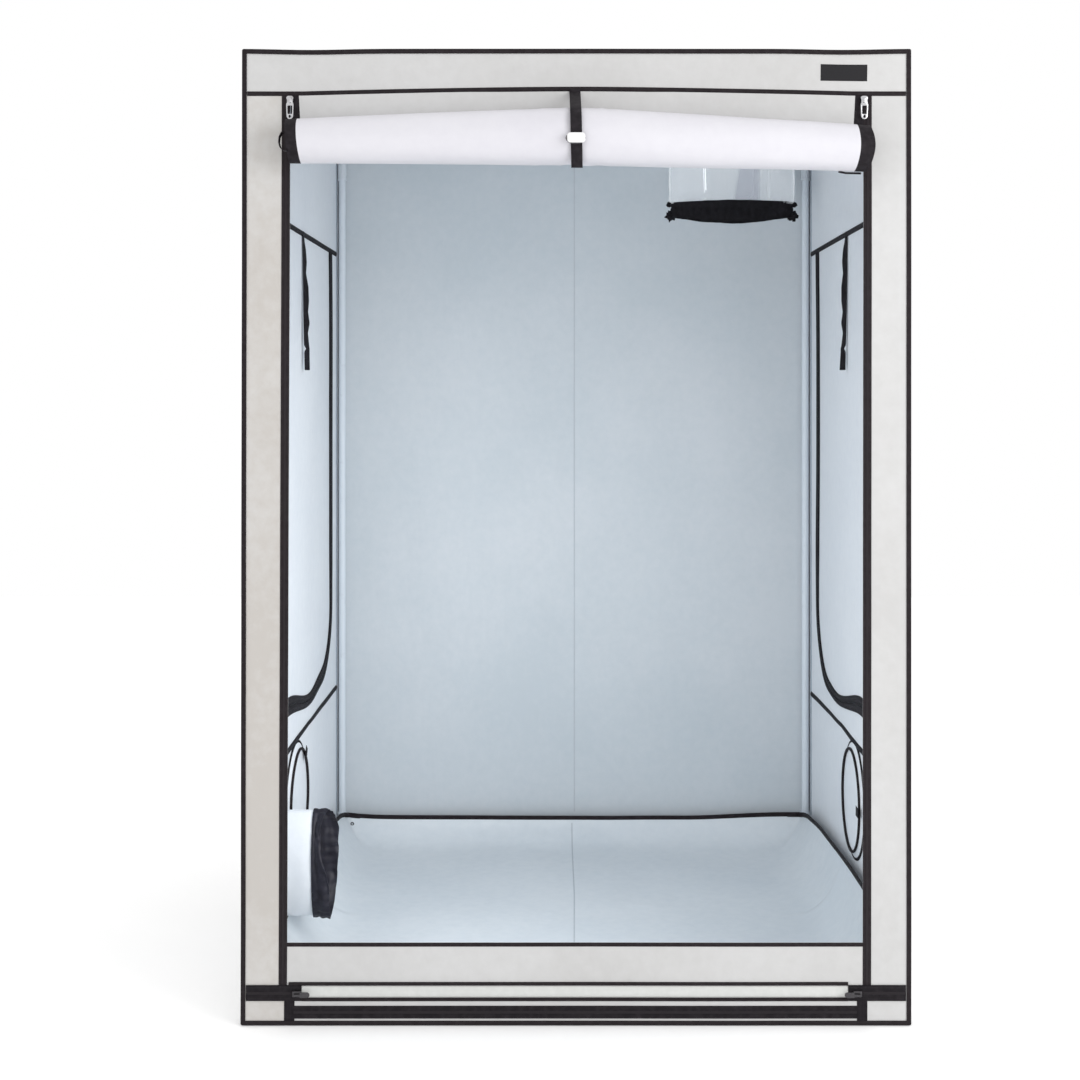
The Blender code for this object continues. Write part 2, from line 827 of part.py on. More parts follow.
def add_zips():
    """Zip bands at the foot of the tent, and every slider."""
    zip_band("sill_zip", -sill_zip_half, sill_zip_half, sill_zip_low, sill_zip_high,
             front_tape_back)
    level = header_low - slider_drop
    base_level = (base_zip_low + base_zip_high) / 2
    base_back = second_tape_face + zip_coil_height + gap
    for side, right in sides.items():
        low, high = sorted((right * base_zip_inner, right * base_zip_outer))
        zip_band(f"base_zip_{side}", low, high, base_zip_low, base_zip_high, second_tape_back)
        door_x = right * doorway_half
        slider(f"door_slider_{side}", door_x, level, front_tape_face + gap, 0)
        pull(f"door_pull_{side}", door_x, level, front_tape_face + gap)
        inward = right * math.radians(90)
        slider(f"base_slider_{side}", right * base_slider_x, base_level, base_back, inward,
               base_pull_length)


# Vents and duct sleeves

def vent(side, right, tab_angle):
    """A vent's sewn ring with its mesh, and the drum-like cover that closes it."""
    turn = axis_turns["-x" if right > 0 else "+x"]
    place = (right * inner_x, vent_y, vent_z)
    mesh_face = -(cloth - vent_mesh) / 2
    ring_face = gap + vent_ring
    profile = [
        (0, mesh_face), (vent_ring_inner, mesh_face), (vent_ring_inner, ring_face),
        (vent_ring_outer, ring_face), (vent_ring_outer, gap), (vent_mesh_radius, gap),
        (vent_mesh_radius, mesh_face - vent_mesh), (0, mesh_face - vent_mesh),
    ]
    smooth(turned(f"vent_frame_{side}", profile, vent_sides, turn, place, insect_mesh))
    base = ring_face + gap
    disc = base + vent_disc_rise
    hoop = base + vent_hoop_rise
    bead = arc(vent_hoop_radius, hoop, vent_hoop_wire, 150, -30, 5)
    drum = [(0, disc + cloth), (vent_hoop_radius - 2 * vent_hoop_wire, disc + cloth)]
    drum += bead
    drum += [(vent_cover_radius, base + cloth), (vent_cover_radius, base),
             (vent_hoop_radius + vent_hoop_wire, base + cloth),
             (vent_hoop_radius - 2 * vent_hoop_wire, disc), (0, disc)]
    cover = turned(f"vent_cover_{side}", drum, vent_sides, turn, place, white_cloth)
    reach = vent_hoop_radius - tab_length / 2
    tab = box("tab", (-tab_width / 2, reach, hoop), (tab_width / 2, reach + tab_length / 2, tab_rise),
              black_tape)
    out_way = Vector((0, math.cos(tab_angle), math.sin(tab_angle)))
    in_way = Vector((-right, 0, 0))
    across = out_way.cross(in_way)
    axes = Matrix((across, out_way, in_way)).transposed().to_4x4()
    tab.data.transform(Matrix.Translation(place) @ axes)
    bpy.context.view_layer.update()
    smooth(merged(cover, [tab]))


def sleeve(name, start, end, radius, mouth, flat_share, to_world, finish):
    """A thin sleeve from its round port to its flattened mouth, with a straight hem at each."""
    half_long, half_short = mouth
    hem = math.copysign(sleeve_hem, end - start)
    stations = [(start, 0)]
    for i in range(sleeve_rings):
        share = i / (sleeve_rings - 1)
        level = start + hem + (end - start - 2 * hem) * share
        flat = min(share / flat_share, 1)
        stations.append((level, flat * flat * (3 - 2 * flat)))
    stations.append((end, 1))
    rings = []
    for level, blend in stations:
        long_way = radius + (half_long - radius) * blend
        short_way = radius + (half_short - radius) * blend
        rings.append([to_world(u * long_way, v * short_way, level)
                      for u, v in circle(0, 0, 1, sleeve_sides)])
    return lofted(name, rings, finish, cloth)


def cuff(name, start, end, mouth, to_world):
    """The elastic cuff round a sleeve's flattened mouth, with a waist where its cord is drawn."""
    half_long, half_short = mouth
    rings = []
    for share, grow_share in cuff_shares:
        level = start + (end - start) * share
        grow = cuff_flare * grow_share
        rings.append([to_world(u * (half_long + grow), v * (half_short + grow), level)
                      for u, v in circle(0, 0, 1, sleeve_sides)])
    return lofted(name, rings, black_elastic, cuff_wall)


def add_sleeves():
    """The duct sleeve that hangs from the roof, and the one in the left wall."""
    def in_roof(u, v, level):
        return (roof_port_x + u, roof_port_y + v, level)

    def in_wall(u, v, level):
        return (-inner_x + level, side_port_y + v, side_port_z + u)

    roof_mouth = (roof_mouth_half, roof_mouth_depth)
    side_mouth = (side_mouth_half, side_mouth_depth)
    sleeve("roof_sleeve", roof_low - gap, roof_cuff_top + gap, roof_port_radius, roof_mouth,
           roof_flat_share, in_roof, clear_foil)
    cuff("roof_cuff", roof_cuff_top, roof_cuff_bottom, roof_mouth, in_roof)
    sleeve("side_sleeve", gap, side_cuff_start - gap, side_port_radius, side_mouth,
           side_flat_share, in_wall, white_cloth)
    cuff("side_cuff", side_cuff_start, side_cuff_end, side_mouth, in_wall)


# The spill tray on the floor

def tray_rim_height(x, y):
    """The height of the tray's soft rim: low at the back, high along the sides."""
    half_x = width / 2 - tray_rim_inset
    half_y = depth / 2 - tray_rim_inset
    on_side = min(abs(x) / half_x, 1) ** 12
    back_share = (half_y - y) / (2 * half_y)
    rise = min(back_share / tray_shoulder_share, 1)
    rise = rise * rise * (3 - 2 * rise)
    climb = max(back_share - tray_shoulder_share, 0) / (1 - tray_shoulder_share)
    side = tray_back_height + (tray_shoulder_height - tray_back_height) * rise
    side += (tray_side_height - tray_shoulder_height) * climb
    end = tray_front_height if y < 0 else tray_back_height
    level = end + (side - end) * on_side
    if x < 0:
        off = min(abs(y - side_port_y) / tray_dip_half, 1)
        level -= tray_dip * on_side * (1 - off * off) ** 2
    return level


def tray_ring(inset, level=None):
    """A ring round the tray: four sides with round corners."""
    halves = (width / 2 - inset, depth / 2 - inset)
    points = []
    for quarter in range(4):
        turn = math.radians(90 * quarter)
        out = halves[quarter % 2]
        flat = halves[1 - quarter % 2] - tray_corner
        run = [(out, -flat + 2 * flat * i / tray_side_steps) for i in range(1, tray_side_steps)]
        corner = arc(out - tray_corner, flat, tray_corner, 0, 90, tray_corner_steps)
        for u, v in run + corner:
            x = u * math.cos(turn) - v * math.sin(turn)
            y = u * math.sin(turn) + v * math.cos(turn)
            points.append((x, y, tray_rim_height(x, y) if level is None else level))
    return points


def spill_tray():
    """A shallow waterproof tray: a flat floor, a turned-up edge and a soft rim."""
    middle = tray_floor + cloth / 2
    floor = tray_ring(tray_floor_inset + tray_fillet, middle)
    edge = tray_ring(tray_floor_inset, middle + tray_fillet)
    rim = tray_ring(tray_rim_inset)
    made = lofted("spill_tray", [floor, edge, rim], tray_cloth, 0)
    shape = bmesh.new()
    shape.from_mesh(made.data)
    lowest = [v for v in shape.verts if v.co.z < middle + gap]
    shape.faces.new(sorted(lowest, key=lambda v: math.atan2(v.co.y, v.co.x)))
    bmesh.ops.recalc_face_normals(shape, faces=shape.faces)
    shape.to_mesh(made.data)
    shape.free()
    solid = made.modifiers.new("wall", "SOLIDIFY")
    solid.thickness = cloth
    solid.offset = 0
    solid.use_even_offset = True
    return made


add_sockets()
add_posts()
add_rails()
lamp_bar("lamp_bar_front", front_bar_y)
lamp_bar("lamp_bar_rear", rear_bar_y)
add_shell()
edge_binding()
doorway_trim()
sill_trim()
door()
door_strap()
add_zips()
tab_angles = {"left": left_tab_angle, "right": right_tab_angle}
for wall_side, wall_right in sides.items():
    side_wall(wall_side, wall_right)
    window(wall_side, wall_right)
    tie_strap(wall_side, wall_right)
    vent(wall_side, wall_right, tab_angles[wall_side])
add_sleeves()
spill_tray()
print("pieces:", len(tent.objects))
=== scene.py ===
# %% [markdown]
# # An indoor grow tent
#
# The real thing is a cage of steel tubes inside a sewn shell. The shell is pale coated canvas
# outside and a bluish white reflective lining inside, and every edge of it is bound in black
# tape. The door is rolled up under the header and held by a strap.
#
# The plain model is loaded first, and nothing in it is moved. Its tubes, sockets and bars are
# the right shape already, so they only get better finishes. Everything sewn is modelled again
# here, because cloth is thin, waves a little and has seams, which a plain solid lacks. So are
# the pulls of the door's zips, which hang in full view.

# %% Load the plain model
import math

import bmesh
import bpy
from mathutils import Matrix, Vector, noise


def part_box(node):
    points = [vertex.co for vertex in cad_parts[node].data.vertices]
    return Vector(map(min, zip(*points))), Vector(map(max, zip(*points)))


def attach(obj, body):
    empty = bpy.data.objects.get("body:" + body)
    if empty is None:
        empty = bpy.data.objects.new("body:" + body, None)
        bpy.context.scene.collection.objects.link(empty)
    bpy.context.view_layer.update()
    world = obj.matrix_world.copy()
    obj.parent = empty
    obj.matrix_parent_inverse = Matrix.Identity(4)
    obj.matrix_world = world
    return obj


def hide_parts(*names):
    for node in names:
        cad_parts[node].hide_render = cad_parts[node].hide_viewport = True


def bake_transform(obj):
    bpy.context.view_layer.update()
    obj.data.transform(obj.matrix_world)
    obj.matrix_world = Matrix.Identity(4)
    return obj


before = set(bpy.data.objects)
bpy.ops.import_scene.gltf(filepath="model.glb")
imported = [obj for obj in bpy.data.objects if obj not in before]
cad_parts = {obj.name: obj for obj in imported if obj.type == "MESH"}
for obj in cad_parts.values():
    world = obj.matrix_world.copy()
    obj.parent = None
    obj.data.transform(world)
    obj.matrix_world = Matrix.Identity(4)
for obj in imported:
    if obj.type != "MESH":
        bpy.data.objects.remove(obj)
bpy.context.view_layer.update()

# %% [markdown]
# ## Sizes
#
# A new piece sits where its plain node sits, so its sizes are read from that node's box. What
# no box gives, such as a cloth's thickness, is a named value here, in metres.

# %% Sizes that all pieces share
cloth = 0.0015
tape = 0.001
gap = 0.0003


def low(node):
    """The lowest corner of a plain node."""
    return Vector(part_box(node)[0])


def high(node):
    """The highest corner of a plain node."""
    return Vector(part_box(node)[1])


def centre(node):
    """The middle of a plain node's box."""
    return (low(node) + high(node)) / 2


half = high("edge_binding").x
top = high("edge_binding").z
outer = half - tape - gap
inner = outer - cloth
roof_face = top - tape - gap
doorway_half = high("door_sheet").x + gap
sill_top = 0.187
header_low = high("door_sheet").z + gap
print(f"half width {half:.3f}, height {top:.3f}, half doorway {doorway_half:.3f}")

# %% [markdown]
# ## Camera, light and floor
#
# The picture was taken from well back, level, with the tent's own verticals kept straight. So
# the camera looks along +Y without a tilt, and its lens is shifted instead, as a studio
# photographer does it. A white surround gives soft light from everywhere. A large soft lamp
# at the right gives the cloth a little direction, and a weak one in the doorway lights the
# inside.

# %% Camera
bpy.ops.object.select_all(action="DESELECT")
bpy.ops.object.camera_add(location=(-0.026, -4.413, 1.42), rotation=(math.radians(90), 0, 0))
camera = bpy.context.object
camera.name = "studio_camera"
camera.data.sensor_width = 36
camera.data.lens = 54.25
camera.data.shift_x = -0.0236
camera.data.shift_y = -0.1343
bpy.context.scene.camera = camera

# %% White surround and lamps
world = bpy.data.worlds.new("white_surround")
bpy.context.scene.world = world
world.use_nodes = True
background = world.node_tree.nodes["Background"].inputs
background["Color"].default_value = (1, 1, 1, 1)
background["Strength"].default_value = 1.0
bpy.context.scene.view_settings.view_transform = "Standard"


def soft_lamp(name, place, aim, size, watts, colour):
    """A soft lamp that points at a place; its size is its width and its height."""
    bpy.ops.object.light_add(type="AREA", location=place)
    lamp = bpy.context.object
    lamp.name = name
    lamp.data.shape = "RECTANGLE"
    lamp.data.size, lamp.data.size_y = size
    lamp.visible_camera = False
    lamp.data.energy = watts
    lamp.data.color = colour
    lamp.rotation_euler = (Vector(aim) - Vector(place)).to_track_quat("-Z", "Y").to_euler()


soft_lamp("key_lamp", (3.4, -3.6, 2.2), (0.2, 0.0, 1.2), (2.4, 2.4), 84, (1.0, 1.0, 1.0))
soft_lamp("doorway_lamp", (-0.24, -0.62, 0.90), (0.10, 0.7, 0.86), (0.66, 1.46), 6.2,
          (0.97, 0.99, 1.0))

# %% Floor, which is no part of the tent
bpy.ops.mesh.primitive_plane_add(size=14, location=(0, 0, -0.001))
floor = bpy.context.object
floor.name = floor.data.name = "studio_floor"

# %% [markdown]
# ## Tools of the bench
#
# Most pieces go through the same steps: a primitive is added, some of its faces or edges are
# chosen by their place, an operator shapes them, and modifiers finish the piece. An operator
# works on whatever is selected, so each of these helpers first selects one piece alone.

# %% Selecting one piece, or some of its parts
def done():
    """Goes back to object mode."""
    if bpy.context.object and bpy.context.object.mode != "OBJECT":
        bpy.ops.object.mode_set(mode="OBJECT")


def alone(piece):
    """Selects one piece alone, in object mode, and makes it the active one."""
    done()
    bpy.ops.object.select_all(action="DESELECT")
    piece.select_set(True)
    bpy.context.view_layer.objects.active = piece


def middle(part):
    """The middle of a vertex, an edge or a face."""
    if isinstance(part, bmesh.types.BMVert):
        return part.co
    return sum((v.co for v in part.verts), Vector()) / len(part.verts)


def choose(piece, kind, test):
    """Enters edit mode with those vertices, edges or faces selected whose middle passes a test."""
    alone(piece)
    bpy.ops.object.mode_set(mode="EDIT")
    bpy.ops.mesh.select_all(action="DESELECT")
    bpy.ops.mesh.select_mode(type=kind)
    shape = bmesh.from_edit_mesh(piece.data)
    parts = {"VERT": shape.verts, "EDGE": shape.edges, "FACE": shape.faces}[kind]
    for part in parts:
        if test(middle(part)):
            part.select_set(True)
    bmesh.update_edit_mesh(piece.data)


def anywhere(place):
    """A test that every part passes."""
    return True


def near(length, other):
    """Whether two lengths agree to a tenth of a millimetre."""
    return abs(length - other) < 0.0001


# %% Applying what a piece still carries, and starting a piece
def fix(piece):
    """Puts a piece's place, turn and size into its mesh, and applies its modifiers."""
    alone(piece)
    bpy.ops.object.transform_apply(location=True, rotation=True, scale=True)
    for modifier in list(piece.modifiers):
        bpy.ops.object.modifier_apply(modifier=modifier.name)
    return piece


def put(piece, place, turn=(0, 0, 0), size=(1, 1, 1)):
    """Sizes, turns and places a piece, with the turn in degrees, and fixes it there."""
    piece.scale = size
    piece.rotation_euler = [math.radians(part) for part in turn]
    piece.location = place
    return fix(piece)


def modify(piece, kind, **settings):
    """Adds a modifier with its settings."""
    modifier = piece.modifiers.new(kind.lower(), kind)
    for name, value in settings.items():
        setattr(modifier, name, value)


def started(name, add, **settings):
    """Runs an operator that adds a primitive, and names the new piece."""
    done()
    bpy.ops.object.select_all(action="DESELECT")
    add(**settings)
    piece = bpy.context.object
    piece.name = piece.data.name = name
    return piece


def grid(name, across, up, size=1):
    """A flat grid with so many faces each way."""
    return started(name, bpy.ops.mesh.primitive_grid_add, x_subdivisions=across,
                   y_subdivisions=up, size=size)


def block(name, low_corner, high_corner):
    """A block between two corners: the start of a band, or a tool that cuts."""
    piece = started(name, bpy.ops.mesh.primitive_cube_add, size=1)
    low_corner, high_corner = Vector(low_corner), Vector(high_corner)
    return put(piece, (low_corner + high_corner) / 2, size=high_corner - low_corner)


def disc_tool(name, place, radius, turn, around=64):
    """A round tool that cuts a port."""
    tool = started(name, bpy.ops.mesh.primitive_cylinder_add, vertices=around, radius=radius,
                   depth=0.06)
    return put(tool, place, turn)


def copy_of(piece, name):
    """A copy with a mesh of its own."""
    alone(piece)
    bpy.ops.object.duplicate()
    made = bpy.context.object
    made.name = made.data.name = name
    return made


# %% Shaping a piece
def cut(piece, tools, operation="DIFFERENCE"):
    """Cuts a piece with tools, and throws the tools away."""
    for tool in tools:
        modify(piece, "BOOLEAN", operation=operation, solver="EXACT", object=tool)
        fix(piece)
        bpy.data.objects.remove(tool, do_unlink=True)


def bevelled(piece, test, size, segments):
    """Rounds the edges of a piece whose middles pass a test."""
    choose(piece, "EDGE", test)
    bpy.ops.mesh.bevel(offset=size, segments=segments, affect="EDGES")
    done()


def slit(piece, place, way):
    """Cuts all faces of a piece along a plane, and keeps both sides."""
    choose(piece, "FACE", anywhere)
    bpy.ops.mesh.bisect(plane_co=place, plane_no=way)
    done()


def welded(piece, threshold):
    """Merges the double points of a piece, and turns its faces outwards."""
    choose(piece, "VERT", anywhere)
    bpy.ops.mesh.remove_doubles(threshold=threshold)
    bpy.ops.mesh.normals_make_consistent(inside=False)
    done()
    return piece


def faced_out(piece):
    """Turns all faces of an open sheet the same way."""
    choose(piece, "FACE", anywhere)
    bpy.ops.mesh.normals_make_consistent(inside=False)
    done()


def subdivided(piece, cuts):
    """Cuts each face of a piece into smaller ones."""
    choose(piece, "FACE", anywhere)
    bpy.ops.mesh.subdivide(number_cuts=cuts)
    done()


def thicken(piece, thickness, offset=-1.0, inside=0):
    """Gives a sheet its thickness; inside is how many slots later the inner face's finish is."""
    while len(piece.data.materials) < inside + 1:
        piece.data.materials.append(None)
    modify(piece, "SOLIDIFY", thickness=thickness, offset=offset, material_offset=inside)
    return fix(piece)


# %% [markdown]
# ## How the cloth hangs
#
# A taut wall isn't a plane. It bellies a few millimetres between its seams, and the front
# leans a little where the left column widens towards the foot. One field gives both, and
# every piece that is sewn to a wall moves with it, so a tape never sinks into its cloth.

# %% The belly of the walls and the lean of the front
wall_cloth = {"front": (0.0006, 0.0003, 2.0, (0, -1, 0)),
              "back": (0.0045, 0.0012, 5.0, (0, 1, 0)),
              "left": (0.0040, 0.0010, 9.0, (-1, 0, 0)),
              "right": (0.0040, 0.0010, 13.0, (1, 0, 0)),
              "roof": (0.0050, 0.0012, 17.0, (0, 0, 1))}
seam_hold = 0.028
foot_lean = 0.0085
window_sag = ((-0.62, 0.0), (-0.19, 0.033), (0.17, -0.017), (0.40, 0.015))
lean_knots = ((-0.742, 0), (-0.69, 1), (-0.625, 1), (-0.2, 0), (0.3, 0), (0.62, 0.25),
              (0.68, 0.25), (0.742, 0))


def fade(distance, over):
    """Rises smoothly from 0 to 1 over a distance."""
    t = min(max(distance / over, 0.0), 1.0)
    return t * t * (3 - 2 * t)


def hump(distance, width):
    """A smooth bump: 1 at no distance, and almost 0 two widths away."""
    return math.exp(-(distance / width) ** 2)


def between(knots, place, soft=False):
    """The value at a place on a chain of (place, value) knots, straight or soft between them."""
    for (a, start), (b, end) in zip(knots, knots[1:]):
        if a <= place <= b:
            share = fade(place - a, b - a) if soft else (place - a) / (b - a)
            return start + (end - start) * share
    return knots[0][1] if place < knots[0][0] else knots[-1][1]


def wave(wall, place):
    """How far a wall stands out at a place: its belly, its creases, and none at its seams."""
    belly, crease, seed, _ = wall_cloth[wall]
    across = place.y if wall in ("left", "right") else place.x
    up = place.y if wall == "roof" else place.z
    room = min(half - abs(across), half - abs(up) if wall == "roof" else min(up, top - up))
    broad = noise.noise((across * 1.4, up * 1.1, seed))
    fine = noise.noise((across * 5.5, up * 2.6, seed + 4))
    rise = belly * broad + crease * fine
    if wall == "roof":
        rise -= 0.5 * belly
    return fade(room - seam_hold, 0.14) * rise


def tug(place):
    """How far sewing and hanging pull a place of the shell from its plain shape."""
    front = fade(-0.70 - place.y, 0.03)
    down = 1 - min(max(place.z, 0) / top, 1)
    x = -foot_lean * between(lean_knots, place.x) * down * front
    x -= (0.0012 + 0.0038 * down) * fade(-place.x - 0.72, 0.022) * fade(0.1 - place.y, 0.7)
    x += 0.0007 * noise.noise((place.z * 2.1, place.y * 1.5, 31))
    z = 0.0007 * noise.noise((place.x * 2.3, place.y * 1.5, 47))
    dip = hump(abs(place.x) - 0.6, 0.10)
    z -= 0.0026 * dip * front * fade(place.z - 2.13, 0.05)
    if abs(place.x) > 0.72:
        sag = between(window_sag, place.y, soft=True)
        if place.x > 0:
            sag -= 0.030 * hump(place.y - 0.36, 0.17)
        z += sag * hump(place.z - 0.62, 0.09)
    return Vector((x, 0, z))


def drape(piece, wall=None):
    """Moves a piece with the cloth of its wall."""
    for vertex in piece.data.vertices:
        place = vertex.co.copy()
        vertex.co = place + tug(place)
        if wall:
            vertex.co += Vector(wall_cloth[wall][3]) * wave(wall, place)
    return piece


# %% Panels of cloth
turns = {"front": (90, 0, 0), "back": (90, 0, 180), "right": (90, 0, 90), "left": (90, 0, -90),
         "roof": (0, 0, 0), "base": (180, 0, 0)}
cell = 0.022


def panel(name, wall, middle_place, width, height):
    """A flat grid of cloth that faces out of the tent."""
    piece = grid(name, round(width / cell), round(height / cell))
    return put(piece, middle_place, turns[wall], (width, height, 1))


# %% Tapes that follow a path
planes = {"front": ((90, 0, 0), (0, 1, 0)), "side": ((90, 0, 90), (1, 0, 0)),
          "floor": ((0, 0, 0), (0, 0, 1))}
wall_planes = {"front": "front", "left": "side", "right": "side", "roof": "floor"}


def drawn(name, points, closed):
    """A flat curve through points."""
    data = bpy.data.curves.new(name, "CURVE")
    data.dimensions = "2D"
    data.fill_mode = "NONE"
    spline = data.splines.new("POLY")
    spline.points.add(len(points) - 1)
    for point, (u, v) in zip(spline.points, points):
        point.co = (u, v, 0, 1)
    spline.use_cyclic_u = closed
    piece = bpy.data.objects.new(name, data)
    bpy.context.scene.collection.objects.link(piece)
    return piece


def stepped(points, step):
    """The same path with a point at least every step."""
    path = [points[0]]
    for (u0, v0), (u1, v1) in zip(points, points[1:]):
        count = max(1, math.ceil(math.hypot(u1 - u0, v1 - v0) / step))
        path += [(u0 + (u1 - u0) * i / count, v0 + (v1 - v0) * i / count)
                 for i in range(1, count + 1)]
    return path


def lay_tape(name, points, section, plane, seat, step=0.03, closed=False, across=0):
    """Sweeps a section along a path in a plane. Its UV map holds metres along and across."""
    path_points = stepped(points, step)
    path = drawn(name, path_points[:-1] if closed else path_points, closed)
    path.data.bevel_mode = "OBJECT"
    profile = drawn("profile", section, True)
    path.data.bevel_object = profile
    path.data.use_fill_caps = not closed
    alone(path)
    bpy.ops.object.convert(target="MESH")
    piece = bpy.context.object
    bpy.data.objects.remove(profile, do_unlink=True)
    piece.name = piece.data.name = name
    around = len(section)
    lengths = [0.0]
    for (u0, v0), (u1, v1) in zip(path_points, path_points[1:]):
        lengths.append(lengths[-1] + math.hypot(u1 - u0, v1 - v0))
    caps = len(piece.data.vertices) - around * (len(path_points) - (1 if closed else 0))
    uv = piece.data.uv_layers.active.data
    for face in piece.data.polygons:
        for loop in face.loop_indices:
            index = piece.data.loops[loop].vertex_index - caps
            ring = index // around if index >= 0 else 0
            side_place = section[index % around][across] if index >= 0 else 0
            uv[loop].uv = (lengths[ring], side_place)
    turn, way = planes[plane]
    put(piece, Vector(way) * seat, turn)
    return welded(piece, 0.00005)


def arc(u, v, radius, start, end, steps):
    """Points on an arc, with angles in degrees."""
    angles = [math.radians(start + (end - start) * i / steps) for i in range(steps + 1)]
    return [(u + radius * math.cos(a), v + radius * math.sin(a)) for a in angles]


def flat_section(start, end, thick, proud=1):
    """A tape's section: flat, with its edges a little rounded."""
    soft = thick * 0.45
    points = [(start, 0), (start + soft, thick), (end - soft, thick), (end, 0)]
    return [(u, v * proud) for u, v in points]


def crowned_section(width, rise, proud=1):
    """A folded binding's section: round on top and flat below."""
    points = arc(0, 0, 0.5, 0, 180, 8)
    return [(u * width, v * 2 * rise * proud) for u, v in points]


# %% Handing a finished piece over
def hand_over(piece, body, finishes, nodes=(), angle=40):
    """Shades a piece, gives it its finishes, its body and the nodes it stands for."""
    fix(piece)
    while len(piece.data.materials) < len(finishes):
        piece.data.materials.append(None)
    for index, finish in enumerate(finishes):
        piece.data.materials[index] = finish
    alone(piece)
    bpy.ops.object.shade_smooth_by_angle(angle=math.radians(angle))
    if body:
        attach(piece, body)
    if nodes:
        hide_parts(*nodes)
    print(f"{piece.name}: {len(piece.data.polygons)} faces")


def sew(name, wall, line, section, seat, finish, body="tent", nodes=(), angle=40,
        closed=False):
    """Lays a tape, moves it with the cloth of its wall, and hands it over."""
    strip = lay_tape(name, line, section, wall_planes[wall], seat, closed=closed)
    drape(strip, wall)
    hand_over(strip, body, (finish,), nodes, angle)


# %% [markdown]
# ## Finishes
#
# A finish is a small network of nodes. Written out node by node it is hard to read, so a
# value in it is wrapped in a class on which sums work: `1 - mask` adds a Math node and
# gives the wrapped result. Patterns read Object coordinates, which are metres on the tent,
# or a tape's own UV map, which holds metres along and across it. So 0.004 is always 4 mm.

# %% A value in a finish, and the finish itself
class Value:
    """The output of a node. A sum on it adds a Math node."""

    def __init__(self, finish, socket):
        self.finish = finish
        self.socket = socket

    def maths(self, operation, *values, clamp=False):
        sockets = dict(enumerate(values))
        settings = {"operation": operation, "use_clamp": clamp}
        return self.finish.node("ShaderNodeMath", settings, sockets)

    def __add__(self, other):
        return self.maths("ADD", self, other)

    def __sub__(self, other):
        return self.maths("SUBTRACT", self, other)

    def __rsub__(self, other):
        return self.maths("SUBTRACT", other, self)

    def __mul__(self, other):
        return self.maths("MULTIPLY", self, other)

    def __truediv__(self, other):
        return self.maths("DIVIDE", self, other)

    __radd__ = __add__
    __rmul__ = __mul__

    def size(self):
        return self.maths("ABSOLUTE", self)

    def part(self):
        """What is left of a value above its whole number."""
        return self.maths("FRACT", self)

    def sine(self):
        return self.maths("SINE", self)

    def least(self, other):
        return self.maths("MINIMUM", self, other)

    def most(self, other):
        return self.maths("MAXIMUM", self, other)

    def held(self):
        """The value kept between 0 and 1."""
        return self.maths("ADD", self, 0.0, clamp=True)

    def above(self, limit, soft):
        """Rises from 0 to 1 as the value passes a limit."""
        return self.maths("MULTIPLY", self - (limit - soft / 2), 1 / soft, clamp=True)


